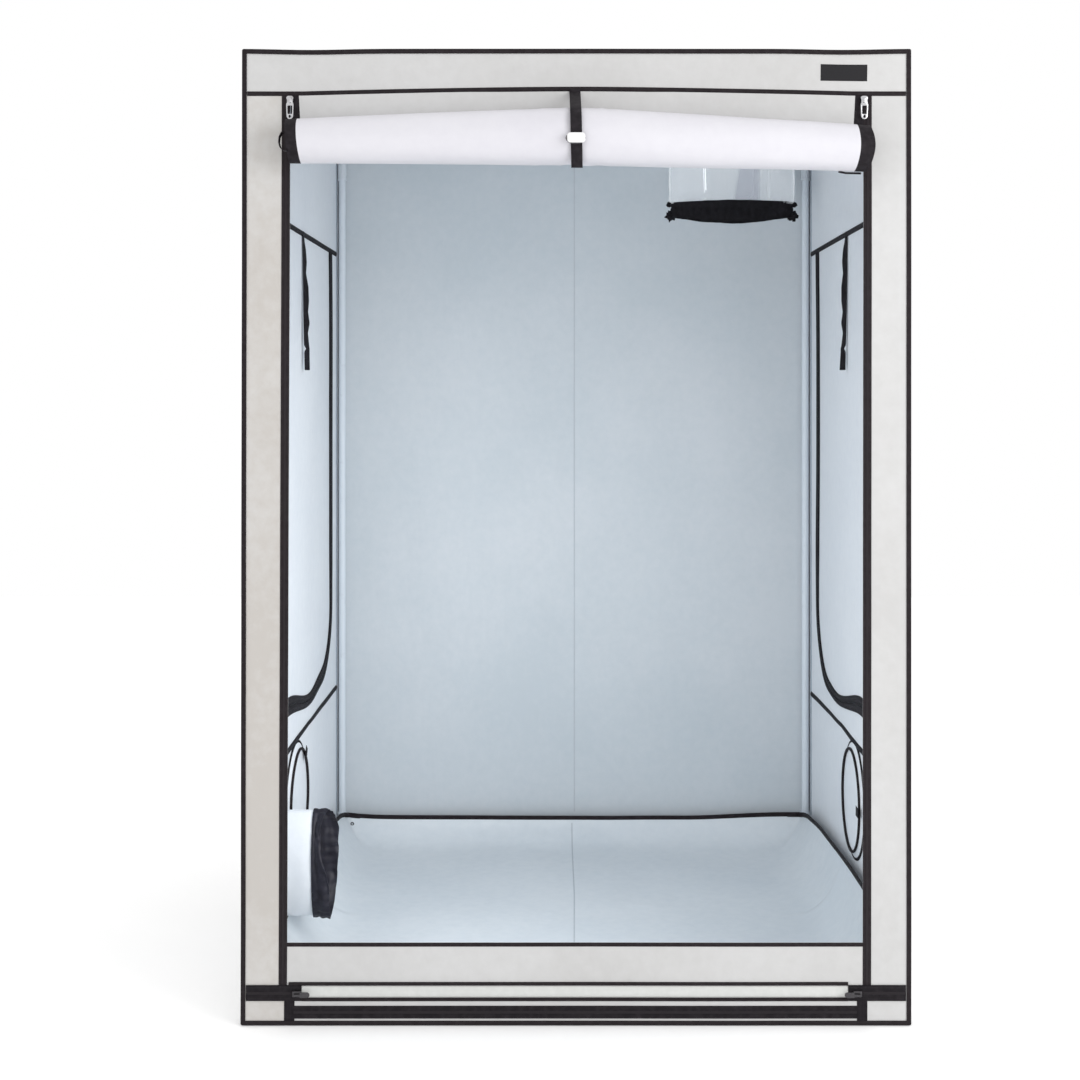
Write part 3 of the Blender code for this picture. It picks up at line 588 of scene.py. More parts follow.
class Finish:
    """A material for one kind of surface."""

    def __init__(self, name, colour, roughness, metal=0.0):
        self.material = bpy.data.materials.new(name)
        self.material.use_nodes = True
        self.tree = self.material.node_tree
        self.shader = self.tree.nodes["Principled BSDF"]
        self.set(**{"Base Color": (*colour, 1), "Roughness": roughness, "Metallic": metal})
        self.places = self.node("ShaderNodeTexCoord", {}, {}, "Object")
        self.material.diffuse_color = (*colour, 1)

    def node(self, kind, settings, sockets, output=0):
        """Adds a node: its settings first, then the values or links of its sockets."""
        made = self.tree.nodes.new(kind)
        for name, value in settings.items():
            setattr(made, name, value)
        for name, value in sockets.items():
            self.plug(made.inputs[name], value)
        return Value(self, made.outputs[output])

    def plug(self, socket, value):
        """Links a value to a socket, or sets the socket."""
        if isinstance(value, Value):
            self.tree.links.new(value.socket, socket)
        else:
            socket.default_value = value

    def set(self, **sockets):
        """Sets or links sockets of the shader."""
        for name, value in sockets.items():
            self.plug(self.shader.inputs[name.replace("_", " ")], value)
        return self

    def stretched(self, amounts, places=None):
        """Coordinates multiplied along each axis."""
        return self.node("ShaderNodeVectorMath", {"operation": "MULTIPLY"},
                         {0: places or self.places, 1: amounts})

    def cloud(self, scale, detail=2.0, rough=0.5, places=None, warp=0.0):
        """Soft noise about 0.5."""
        return self.node("ShaderNodeTexNoise", {},
                         {"Vector": places or self.places, "Scale": scale, "Detail": detail,
                          "Roughness": rough, "Distortion": warp})

    def axes(self, places=None):
        """The three numbers of a place."""
        made = self.node("ShaderNodeSeparateXYZ", {}, {0: places or self.places})
        outputs = made.socket.node.outputs
        return [Value(self, output) for output in outputs]

    def tape_places(self):
        """How far along a tape a place is, and how far across it, in metres."""
        return self.axes(self.node("ShaderNodeUVMap", {"uv_map": "UVMap"}, {}))[:2]

    def edge_places(self):
        """The same on the tent's own edges: the middle one of the distances from its sides."""
        x, y, z = self.axes()
        sides = [half - x.size(), half - y.size(), (top / 2) - (z - top / 2).size()]
        nearest = sides[0].least(sides[1]).least(sides[2])
        furthest = sides[0].most(sides[1]).most(sides[2])
        return x + y + z, sides[0] + sides[1] + sides[2] - nearest - furthest

    def weave(self, pitch):
        """Threads both ways on every wall, whichever way it faces."""
        turns_a_metre = 2 * math.pi / pitch
        waves = self.node("ShaderNodeVectorMath", {"operation": "SINE"},
                          {0: self.stretched((turns_a_metre,) * 3)})
        return self.node("ShaderNodeVectorMath", {"operation": "DOT_PRODUCT"},
                         {0: waves, 1: (0.5, 0.5, 0.5)}, "Value")

    def mixed(self, share, first, second):
        """One colour turning into another."""
        first = first if isinstance(first, Value) else (*first, 1)
        second = second if isinstance(second, Value) else (*second, 1)
        return self.node("ShaderNodeMix", {"data_type": "RGBA"}, {0: share, 6: first, 7: second},
                         2)

    def bumped(self, height, strength, distance):
        """Turns a height into the way the surface faces."""
        return self.set(Normal=self.node("ShaderNodeBump", {},
                                         {"Height": height, "Strength": strength,
                                          "Distance": distance}))


# %% [markdown]
# ### Cloths
#
# The outer canvas is a close weave with a dull coating. Up close it has threads; from where
# the camera stands only its faint clouding and shallow creases show. The lining is the same
# cloth with a bluish white film on it, which is smoother and shines softly. The rolled door
# shows its own lining, painted greyer as painted shade that offsets the full light it hangs
# in. The left column's canvas and the back wall's lining are also copies painted darker, as
# painted shade.

# %% Canvas, lining and white cloth
def cloth_finish(name, colour, dark, roughness, crease_depth, grain=(1, 1, 1), pitch=0.0012,
                 thread=0.00002, cloud_share=1.0):
    """A coated cloth: clouded colour, threads, long shallow creases."""
    finish = Finish(name, colour, roughness)
    broad = finish.cloud(2.2, 3.0, 0.55)
    fine = finish.cloud(36.0, 4.0, 0.6)
    mottle = ((broad * 0.65 + fine * 0.35) - 0.36) * (cloud_share / 0.28)
    weave = finish.weave(pitch)
    finish.set(Base_Color=finish.mixed(mottle.held(), colour, dark))
    finish.set(Roughness=(fine * 0.16 + (roughness - 0.08)))
    creases = finish.cloud(7.0, 3.0, 0.55, finish.stretched(grain), 0.4)
    puckers = finish.cloud(48.0, 2.0, 0.6)
    height = creases * crease_depth + puckers * (crease_depth * 0.05) + weave * thread
    finish.bumped(height, 0.6, 1.0)
    finish.set(Sheen_Weight=0.08, Sheen_Roughness=0.5)
    return finish.material


canvas = cloth_finish("canvas", (0.572, 0.570, 0.569), (0.512, 0.508, 0.503), 0.68, 0.004,
                      pitch=0.0011, thread=0.00004)
# The left column's canvas is a warmer, darker copy of the canvas: painted warm shade, with its
# clouding made stronger.
shaded_warm_canvas = cloth_finish("shaded_warm_canvas", (0.585, 0.575, 0.562), (0.502, 0.476, 0.448), 0.68,
                           0.005, (1.0, 1.0, 0.4), 0.0011, 0.00004, 1.2)
lining = cloth_finish("lining", (0.82, 0.85, 0.885), (0.755, 0.79, 0.835), 0.42, 0.005,
                      (1.0, 1.0, 0.45))
# The back wall's lining is the lining painted darker: painted shade, since the back wall gets only
# the light that comes in through the doorway.
shaded_back_lining = cloth_finish("shaded_back_lining", (0.64, 0.68, 0.715), (0.57, 0.625, 0.665), 0.42,
                           0.005, (1.0, 1.0, 0.35))
# The roll's lining is painted greyer than the lining inside: painted shade that offsets the full
# light on the roll.
white_cloth = cloth_finish("white_cloth", (0.672, 0.664, 0.702), (0.632, 0.622, 0.666), 0.5,
                           0.003, (0.35, 1.0, 1.0))
tray_cloth = cloth_finish("tray_cloth", (0.73, 0.775, 0.81), (0.65, 0.705, 0.75), 0.36, 0.006,
                          (0.8, 1.0, 1.0), 0.0013)

# %% [markdown]
# ### Tapes, zips and straps
#
# Black binding is a ribbed tape folded over the edge and stitched down. A zip is two woven
# tapes with a row of teeth between them. A strap is a thicker ribbed webbing, and the cuffs
# are gathered elastic cloth. All take their ribs, stitches and teeth from their UV maps, but
# for the edge binding, which takes them from the distances to the tent's own sides.

# %% Binding, zip tape, webbing and elastic
black = (0.0135, 0.0095, 0.0115)
worn_black = (0.036, 0.030, 0.034)
deep_black = (0.0070, 0.0052, 0.0074)
worn_deep_black = (0.024, 0.019, 0.024)
stitch_pitch, tooth_pitch = 0.004, 0.0021


def tape_finish(name, rib, colour=black, worn=worn_black, roughness=0.72, stitches=(), teeth=0.0,
                rib_across=True, on_edges=False):
    """A woven tape: ribs, rows of stitches at some places across it, and perhaps teeth."""
    finish = Finish(name, colour, roughness)
    along, across = finish.edge_places() if on_edges else finish.tape_places()
    dust = finish.cloud(60.0, 4.0, 0.65)
    ribs = ((along if rib_across else across) * (2 * math.pi / rib)).sine()
    height = ribs * 0.00008 + dust * 0.0003
    wear_and_tooth_highlight = (dust - 0.42) * 1.2
    for place in stitches:
        row = 1 - (across - place).size().above(0.0007, 0.0006)
        thread = row * (1 - ((along / stitch_pitch).part() - 0.5).size().above(0.34, 0.2))
        height = height + thread * 0.0004 - row * 0.0002
        wear_and_tooth_highlight = wear_and_tooth_highlight + thread * 0.35
    if teeth:
        row = 1 - across.size().above(teeth, 0.0008)
        coil = (along * (2 * math.pi / tooth_pitch)).sine() * 0.5 + 0.5
        height = height * (1 - row) + row * (coil * 0.0009 + 0.0006)
        # On the teeth the colour follows the coil: each crest is painted lighter, towards the worn
        # colour, as a painted highlight.
        wear_and_tooth_highlight = wear_and_tooth_highlight * (1 - row) + row * (coil * 0.9)
    finish.set(Base_Color=finish.mixed(wear_and_tooth_highlight.held(), colour, worn))
    finish.set(Roughness=(roughness - wear_and_tooth_highlight.held() * 0.12))
    finish.bumped(height, 0.8, 1.0)
    finish.set(Specular_IOR_Level=0.2)
    return finish.material


edge_tape = tape_finish("edge_tape", 0.0010, roughness=0.74, stitches=(0.0070,), on_edges=True)
piping_tape = tape_finish("piping_tape", 0.0010)
door_zip = tape_finish("door_zip", 0.0011, stitches=(-0.0072, 0.0072), teeth=0.0024)
foot_zip = tape_finish("foot_zip", 0.0011, deep_black, stitches=(-0.0125, 0.0125), teeth=0.0030)
window_zip = tape_finish("window_zip", 0.0012, deep_black, worn_deep_black,
                         stitches=(-0.016, 0.016), teeth=0.0028)
seam_tape = tape_finish("seam_tape", 0.0010, deep_black, worn_deep_black,
                        stitches=(-0.0032, 0.0032))
webbing = tape_finish("webbing", 0.0018, (0.0088, 0.0064, 0.0088), (0.040, 0.034, 0.040), 0.66,
                      rib_across=False)
elastic = tape_finish("elastic", 0.0014, (0.0050, 0.0045, 0.0062), (0.018, 0.016, 0.021), 0.78,
                      rib_across=False)
thread = tape_finish("thread", 0.0022, (0.52, 0.56, 0.60), (0.60, 0.64, 0.68), 0.7)
# shaded_thread is the thread painted darker: painted shade of the rear corners.
shaded_thread = tape_finish("shaded_thread", 0.0022, (0.26, 0.32, 0.385), (0.33, 0.39, 0.455),
                            0.7)
light_piping = tape_finish("light_piping", 0.0016, (0.60, 0.605, 0.59), (0.72, 0.725, 0.71), 0.5)

# %% The shiny thin nylon of the intake sleeve's cuff
cuff_nylon = Finish("cuff_nylon", (0.018, 0.017, 0.026), 0.45)
nylon_cloud = cuff_nylon.cloud(34.0, 3.0, 0.6)
nylon_folds = cuff_nylon.cloud(16.0, 2.0, 0.5, cuff_nylon.stretched((1.0, 1.0, 0.45)), 0.8)
cuff_nylon.set(Base_Color=cuff_nylon.mixed(nylon_cloud, (0.0075, 0.0072, 0.0115),
                                           (0.025, 0.024, 0.036)))
cuff_nylon.set(Roughness=nylon_cloud * 0.2 + 0.40, Specular_IOR_Level=0.28)
cuff_nylon.bumped(nylon_folds * 0.014 + nylon_cloud * 0.001, 0.8, 1.0)

# %% [markdown]
# ### Clear film, mesh and hard parts
#
# The exhaust sleeve is clear film, seen by its creases and its gloss. Its highlights, a bright
# crease line and a faint glow are painted into it, and its doubled fold is painted darker as
# painted shade. Insect mesh is mostly holes. Posts are painted tube with faint dents and rubbed
# spots, the sockets are moulded plastic with a fine grain, and the bars and zip pulls are
# plated metal.

# %% Film and insect mesh
clear_film = Finish("clear_film", (0.93, 0.95, 0.97), 0.16)
port = centre("roof_cuff")
film_x, _, film_z = clear_film.axes()
folds = clear_film.cloud(5.0, 2.0, 0.5, clear_film.stretched((1.0, 1.0, 0.35)), 0.6)
# Painted highlights: the crests of the folds, the film's side edges and the crease line are made
# more opaque, which paints them light. At the side edges this is partly real, since the film is seen
# slanting there and looks denser.
painted_ridge_highlights = 1 - ((folds - 0.5).size() * 90).held()
small_folds = clear_film.cloud(26.0, 2.0, 0.5, clear_film.stretched((1.0, 1.0, 0.5)), 0.4)
rising = film_z - 2.02
# The doubled fold is partly real, where two layers make the film denser, and partly painted shade:
# its colour is painted darker.
fold_left = (film_x - 0.4800 - rising * 0.16).above(0.0, 0.003)
fold_right = (0.5520 - film_x).above(0.0, 0.0015)
doubled_fold_shade = fold_left * fold_right
# A painted highlight: a bright line down one crease, made opaque and glowing.
painted_highlight_line = 1 - ((film_x - 0.3915 + rising * 0.03).size()).above(0.0011, 0.0012)
painted_highlight_line = painted_highlight_line * (film_z - 2.028).above(0.0, 0.006)
edges = (film_x - port.x).size().above(0.1830, 0.0025)
painted_film_highlights = (painted_highlight_line * 0.9 + edges * 0.22 + painted_ridge_highlights * 0.18).held()
clear_film.set(Alpha=(painted_film_highlights * 0.80 + small_folds * 0.18 + doubled_fold_shade * 0.10 + 0.08).held())
film_colour = clear_film.mixed(doubled_fold_shade, (0.90, 0.93, 0.96), (0.58, 0.60, 0.66))
# The whole film glows faintly: painted light, which lightens it.
clear_film.set(Base_Color=film_colour, Emission_Strength=0.16)
clear_film.set(Emission_Color=clear_film.mixed(painted_highlight_line, film_colour, (3.6, 3.7, 3.8)))
clear_film.bumped(folds * 0.010 + small_folds * 0.002, 0.6, 1.0)
clear_film.set(Roughness=small_folds * 0.12 + 0.10, Specular_IOR_Level=0.6)

insect_mesh = Finish("insect_mesh", (0.045, 0.045, 0.05), 0.6)
_, mesh_y, mesh_z = insect_mesh.axes()
mesh_pitch = 0.0018
thread_y = ((mesh_y / mesh_pitch).part() - 0.5).size().above(0.32, 0.12)
thread_z = ((mesh_z / mesh_pitch).part() - 0.5).size().above(0.32, 0.12)
threads = thread_y.most(thread_z)
insect_mesh.set(Alpha=threads, Roughness=0.65 - threads * 0.1)
insect_mesh.set(Base_Color=insect_mesh.mixed(insect_mesh.cloud(80.0), (0.035, 0.035, 0.04),
                                             (0.07, 0.07, 0.075)))
insect_mesh.bumped(threads * 0.0003, 0.6, 1.0)


# %% Paint, plastic and metals
def hard_finish(name, colour, worn, roughness, metal, grain_scale, grain_depth, coat=0.0,
                streaks=(1, 1, 1)):
    """A hard surface with a fine grain, small dents and rubbed spots."""
    finish = Finish(name, colour, roughness, metal)
    grain = finish.cloud(grain_scale, 3.0, 0.6, finish.stretched(streaks))
    spots = finish.cloud(26.0, 4.0, 0.7)
    rubbed = spots.above(0.64, 0.10)
    finish.set(Base_Color=finish.mixed(rubbed * 0.6 + grain * 0.2, colour, worn))
    finish.set(Roughness=(grain * 0.18 + rubbed * 0.08 + (roughness - 0.09)))
    finish.bumped(grain * grain_depth + spots * 0.0004, 0.6, 1.0)
    finish.set(Coat_Weight=coat, Coat_Roughness=0.25)
    return finish.material


post_paint = hard_finish("post_paint", (0.74, 0.80, 0.86), (0.66, 0.71, 0.77), 0.50, 0.0, 420.0,
                         0.0001, 0.0)
socket_plastic = hard_finish("socket_plastic", (0.72, 0.77, 0.82), (0.66, 0.70, 0.75), 0.60,
                             0.0, 900.0, 0.0002)
bar_steel = hard_finish("bar_steel", (0.66, 0.67, 0.69), (0.50, 0.50, 0.52), 0.30, 1.0, 300.0,
                        0.0001, 0.0, (0.05, 1.0, 1.0))
zip_metal = hard_finish("zip_metal", (0.60, 0.60, 0.62), (0.30, 0.29, 0.29), 0.27, 1.0, 700.0,
                        0.0002)
dark_metal = hard_finish("dark_metal", (0.055, 0.052, 0.056), (0.30, 0.29, 0.30), 0.34, 1.0, 700.0,
                         0.0002)
plate_enamel = hard_finish("plate_enamel", (0.80, 0.80, 0.80), (0.66, 0.66, 0.66), 0.30, 0.0,
                           500.0, 0.0001, 0.3)

# %% Plain sewn patch and the studio floor
patch_cloth = Finish("patch_cloth", (0.013, 0.012, 0.014), 0.55)
patch_grain = patch_cloth.cloud(240.0, 3.0, 0.6)
patch_cloth.set(Base_Color=patch_cloth.mixed(patch_grain, (0.0065, 0.0060, 0.0075),
                                             (0.015, 0.014, 0.017)))
patch_cloth.set(Roughness=patch_grain * 0.2 + 0.45)
patch_cloth.set(Specular_IOR_Level=0.25)
patch_cloth.bumped(patch_grain * 0.0004 + patch_cloth.weave(0.0008) * 0.00008, 0.7, 1.0)

floor_paper = Finish("floor_paper", (0.97, 0.97, 0.97), 0.9)
paper_grain = floor_paper.cloud(3.0, 3.0, 0.5)
floor_paper.set(Emission_Color=(1, 1, 1, 1), Emission_Strength=0.16)
floor_paper.set(Base_Color=floor_paper.mixed(paper_grain, (0.965, 0.965, 0.965),
                                             (0.985, 0.985, 0.985)))
floor.data.materials.append(floor_paper.material)
print(len(bpy.data.materials), "finishes")

# %% [markdown]
# ## The sewn shell
#
# Six panels of cloth are sewn together along the edges. Each is a grid fine enough to belly,
# and Solidify gives it the cloth's thickness towards the inside, with canvas on the outer
# face and lining on the inner one. Panels stop short of the edge, under the black binding.

# %% The sizes of the panels, and one panel
hidden_edge = 0.0022
edge_x = outer - hidden_edge
edge_z = roof_face - hidden_edge
foot = low("front_panel").z + 0.0007
roof_size = (2 * edge_x, 2 * edge_x)
wall_size = (2 * edge_x, edge_z - foot)
wall_middle = foot + wall_size[1] / 2


def sewn_panel(name, wall, middle_place, size, finishes, node, tools=()):
    """A stretched panel with its belly, its thickness, its openings and its finishes."""
    piece = drape(panel(name, wall, middle_place, *size), wall)
    thicken(piece, cloth, inside=1)
    cut(piece, tools)
    hand_over(piece, "tent", finishes, (node,))


# %% Front: a header, a column at each side of the doorway, and a sill
front_parts = {
    "front_header": (-edge_x, header_low, edge_x, edge_z),
    "front_column_left": (-edge_x, foot, -doorway_half, header_low),
    "front_column_right": (doorway_half, foot, edge_x, header_low),
    "front_sill": (-doorway_half, foot, doorway_half, sill_top),
}
for name, (left, bottom, right, upper) in front_parts.items():
    # The left column takes the canvas copy with painted warm shade.
    outer_face = shaded_warm_canvas if name == "front_column_left" else canvas
    sewn_panel(name, "front", ((left + right) / 2, -outer, (bottom + upper) / 2),
               (right - left, upper - bottom), (outer_face, lining), "front_panel")

# %% Back wall, roof with the round exhaust port, and base
# Its inner face takes the lining with painted shade.
sewn_panel("back_cloth", "back", (0, outer, wall_middle), wall_size, (canvas, shaded_back_lining),
           "back_wall")

port_radius = (high("roof_sleeve").y - low("roof_sleeve").y) / 2 - cloth
sewn_panel("roof_cloth", "roof", (0, 0, roof_face), roof_size, (canvas, lining), "roof_sheet",
           [disc_tool("port_tool", (port.x, port.y, roof_face), port_radius, (0, 0, 0))])

base_half = high("base_sheet").x
base_cloth = panel("base_cloth", "base", (0, 0, 0.0001), 2 * base_half, 2 * base_half)
thicken(base_cloth, cloth, inside=1)
hand_over(base_cloth, "tent", (canvas, tray_cloth), ("base_sheet",))

# %% Side walls with their windows, vents and, on the left, the intake port
window_low = low("window_flap_left").z
window_top = high("window_flap_left").z
window_half = high("window_flap_left").y
window_radius = 0.21
vent = centre("vent_frame_left")
vent_radius = 0.128
intake = centre("side_sleeve")
intake_radius = 0.1
sides = {"left": -1, "right": 1}


def window_tool(side, grow):
    """A block with two round lower corners, as large as the window."""
    x = sides[side] * outer
    tool = block("window_tool", (x - 0.03, -window_half - grow, window_low - grow),
                 (x + 0.03, window_half + grow, window_top + grow))
    bevelled(tool, lambda place: abs(place.y) > window_half * 0.9 and
             place.z < window_low + 0.01 and abs(place.x - x) < 0.01, window_radius, 10)
    return tool


for side, sign in sides.items():
    x = sign * outer
    wall = panel(f"{side}_cloth", side, (x, 0, wall_middle), *wall_size)
    thicken(wall, cloth, inside=1)
    flap = copy_of(wall, f"window_{side}")
    tools = [window_tool(side, gap),
             disc_tool("vent_tool", (x, vent.y, vent.z), vent_radius, (0, 90, 0))]
    if side == "left":
        tools.append(disc_tool("port_tool", (x, intake.y, intake.z), intake_radius, (0, 90, 0)))
    cut(wall, tools)
    drape(wall, side)
    hand_over(wall, "tent", (canvas, lining), (f"{side}_wall",))
    cut(flap, [window_tool(side, 0)], "INTERSECT")
    drape(flap, side)
    hand_over(flap, f"window_{side}", (canvas, lining), (f"window_flap_{side}",))

# %% The sewn hem round the roof port
sew("roof_port_ring", "roof", arc(port.x, port.y, (port_radius + 0.148) / 2, 0, 360, 64),
    flat_section(-0.0110, 0.0110, 0.0010), roof_face + 0.0001, seam_tape, closed=True)

# %% [markdown]
# ## Edge binding
#
# Every edge of the shell is bound in black tape folded round it. A cube already has those
# twelve edges: each face is inset by the width of the tape and its middle is deleted, which
# leaves only the folded strips. They are cut finely so that they lean and dip with the
# cloth, and a bevel rounds the fold.

# %% Folded strips along the twelve edges
binding_width = 0.0115
fold = half + 0.0032
binding = block("edge_binding_tape", (-fold, -half - 0.0006, 0), (fold, fold, top))
choose(binding, "FACE", anywhere)
bpy.ops.mesh.inset(thickness=binding_width, use_individual=True)
choose(binding, "FACE", lambda place: sum(
    abs(part) < 0.01 for part in (place.x, place.y, place.z - top / 2)) == 2)
bpy.ops.mesh.delete(type="FACE")
bevelled(binding, lambda place: sum(
    (fold - abs(place.x) < 0.0001, half - abs(place.y) < 0.0001,
     near(abs(place.z - top / 2), top / 2))) == 2, 0.0042, 4)
strips = 48
for way, start, reach in (((1, 0, 0), -fold, 2 * fold), ((0, 1, 0), -fold, 2 * fold),
                          ((0, 0, 1), 0, top)):
    for step in range(1, strips):
        slit(binding, Vector(way) * (start + reach * step / strips), way)
drape(binding)
thicken(binding, tape)
hand_over(binding, "tent", (edge_tape,), ("edge_binding",), 50)

# %% [markdown]
# ## Piping, zips and bands on the front
#
# All of these are narrow strips that follow a line. Each is a flat section swept along a
# drawn path, as a sewing machine lays tape along a seam. The sweep's UV map is rewritten to
# metres, which gives the ribs, stitches and teeth their true size.

# %% Header piping, bowed a little upwards between the corners
front_seat = -low("doorway_trim").y - tape
piping_half = high("doorway_trim").x
header_middle = (header_low + high("doorway_trim").z) / 2
bow = 0.0105
bowed = []
for index in range(61):
    x = -piping_half + 2 * piping_half * index / 60
    rise = bow * (1 - min(abs(x) / 0.62, 1) ** 1.6)
    bowed.append((x, header_middle - 0.0072 + rise))
sew("header_piping", "front", bowed, crowned_section(0.0104, 0.0022), -front_seat, piping_tape,
    angle=60)

# %% Door zips: the half that stays on the tent
tape_low = low("base_zip_left").z + 0.004
tape_high = header_low + 0.002
zip_middle = doorway_half + 0.0095
for side, sign in sides.items():
    sew(f"door_zip_{side}", "front",
        [(sign * zip_middle, tape_low), (sign * zip_middle, tape_high)],
        flat_section(-0.0095, 0.0095, 0.0009), -front_seat, door_zip,
        nodes=("doorway_trim",) if side == "left" else ())

# %% Sill: its binding, two pipings with a light one between, and the zip band under it
sill_pieces = [
    ("sill_binding", 0.1825, 0.0090, 0.0012, 0.09 - piping_half, piping_half - 0.09, piping_tape),
    ("sill_piping_upper", 0.0945, 0.0080, 0.0040, -0.6410, 0.6117, piping_tape),
    ("sill_piping_light", 0.0770, 0.0245, 0.0022, -0.6117, 0.6117, light_piping),
    ("sill_piping_lower", 0.0595, 0.0082, 0.0040, -0.6117, 0.6117, piping_tape),
]
for name, level, wide, rise, start, end, finish in sill_pieces:
    sew(name, "front", [(start, level), (end, level)], crowned_section(wide, rise), -front_seat,
        finish, nodes=("sill_trim",) if name == "sill_piping_upper" else (), angle=60)
sew("sill_zip_tape", "front", [(-0.6290, 0.0305), (0.632, 0.0305)],
    flat_section(-0.0145, 0.0145, 0.0014), -front_seat, foot_zip, nodes=("sill_zip",))

# %% Foot zips, which run round the corners, and the upright bands below the columns
outside_seat = outer + 0.0001
foot_level = 0.074
for side, sign in sides.items():
    sew(f"foot_zip_{side}", "front", [(sign * 0.740, foot_level), (sign * 0.612, foot_level)],
        flat_section(-0.018, 0.018, 0.0016), -front_seat - tape - gap, foot_zip,
        nodes=(f"base_zip_{side}",))
    sew(f"foot_zip_side_{side}", side, [(-0.740, foot_level), (0.740, foot_level)],
        flat_section(-0.018, 0.018, 0.0007, sign), sign * outside_seat, foot_zip)
    upright_x = {"left": -0.6395, "right": 0.6440}[side]
    sew(f"foot_band_{side}", "front", [(upright_x, 0.0095), (upright_x, 0.056)],
        flat_section(-0.0118, 0.0118, 0.0009), -front_seat, seam_tape)

# %% [markdown]
# ## Windows, seams and vents in the side walls
#
# A window is a panel closed by a U-shaped zip. One half of the zip tape is sewn to the wall
# and stays, the other is sewn to the window and swings out with it, so the tape is laid
# as two strips along the same line. A vent is a sewn ring with mesh, closed inside by a drum
# of cloth on a wire hoop.

# %% The line of the window's zip
def window_line(grow):
    """The U below the window, moved outwards by grow."""
    reach = window_half + grow
    radius = window_radius + grow
    low_z = window_low - grow
    turn = window_half - window_radius
    path = [(-reach, window_top - 0.006), (-reach, window_low + window_radius)]
    path += arc(-turn, window_low + window_radius, radius, 180, 270, 14)[1:]
    path += [(turn, low_z)]
    path += arc(turn, window_low + window_radius, radius, -90, 0, 14)[1:]
    path += [(reach, window_top - 0.006)]
    return path


lower_seams = {"left": [(-0.700, 0.488), (-0.19, 0.487), (0.14, 0.5045), (0.36, 0.502),
                        (0.700, 0.499)],
               "right": [(-0.700, 0.489), (-0.12, 0.4865), (0.0, 0.490), (0.15, 0.4975),
                         (0.32, 0.4940), (0.700, 0.480)]}
inner_face = high("window_zip_left").x - tape
for side, sign in sides.items():
    seat = -inner_face * sign
    window_body = f"window_{side}"
    for name, offset, body in (("wall", 0.0100, "tent"), ("flap", -0.0100, window_body)):
        strip = lay_tape(f"window_zip_{name}_{side}", window_line(offset),
                         crowned_section(0.0198, 0.0048, -sign), "side", seat)
        for vertex in strip.data.vertices:
            beside = abs(vertex.co.y) - window_half
            wider = 1 + 0.35 * fade(vertex.co.z - 0.76, 0.2)
            if beside > -0.05 and wider > 1:
                vertex.co.y = math.copysign(window_half + beside * wider, vertex.co.y)
        drape(strip, side)
        hand_over(strip, body, (window_zip,), (f"window_zip_{side}",))
        sew(f"window_edge_{name}_{side}", side, window_line(offset * 0.55),
            flat_section(-0.0054, 0.0054, 0.0008, sign), sign * outside_seat, seam_tape, body)
    sew(f"seam_upper_{side}", side, [(-0.6969, window_top), (0.6969, window_top)],
        crowned_section(0.0150, 0.0036, -sign), seat, seam_tape)
    sew(f"seam_lower_{side}", side, lower_seams[side], crowned_section(0.0145, 0.0038, -sign),
        seat, seam_tape)
    outside_level = window_top + 0.0055
    for name, line in (("upper", [(-0.740, outside_level), (0.740, outside_level)]),
                       ("lower", lower_seams[side])):
        sew(f"seam_{name}_outside_{side}", side, line,
            flat_section(-0.0050, 0.0050, 0.0008, sign), sign * outside_seat, seam_tape)

# %% Vents: mesh, sewn collar, black bindings, and the hooped cover
def ring_path(radius):
    """A circle round the vent in the side wall's plane."""
    return arc(vent.y, vent.z, radius, 0, 360, 56)


def disc(name, x, radius, dome, sign):
    """A round cloth in a side wall's plane, domed towards the inside."""
    piece = started(name, bpy.ops.mesh.primitive_circle_add, vertices=56, radius=radius,
                    fill_type="TRIFAN")
    put(piece, (x, vent.y, vent.z), (0, -90 * sign, 0))
    subdivided(piece, 3)
    for vertex in piece.data.vertices:
        away = math.hypot(vertex.co.y - vent.y, vertex.co.z - vent.z) / radius
        ripple = 0.0006 * noise.noise(vertex.co * 22)
        vertex.co.x -= sign * (dome * (1 - away ** 4) + ripple * (1 - away))
    return piece


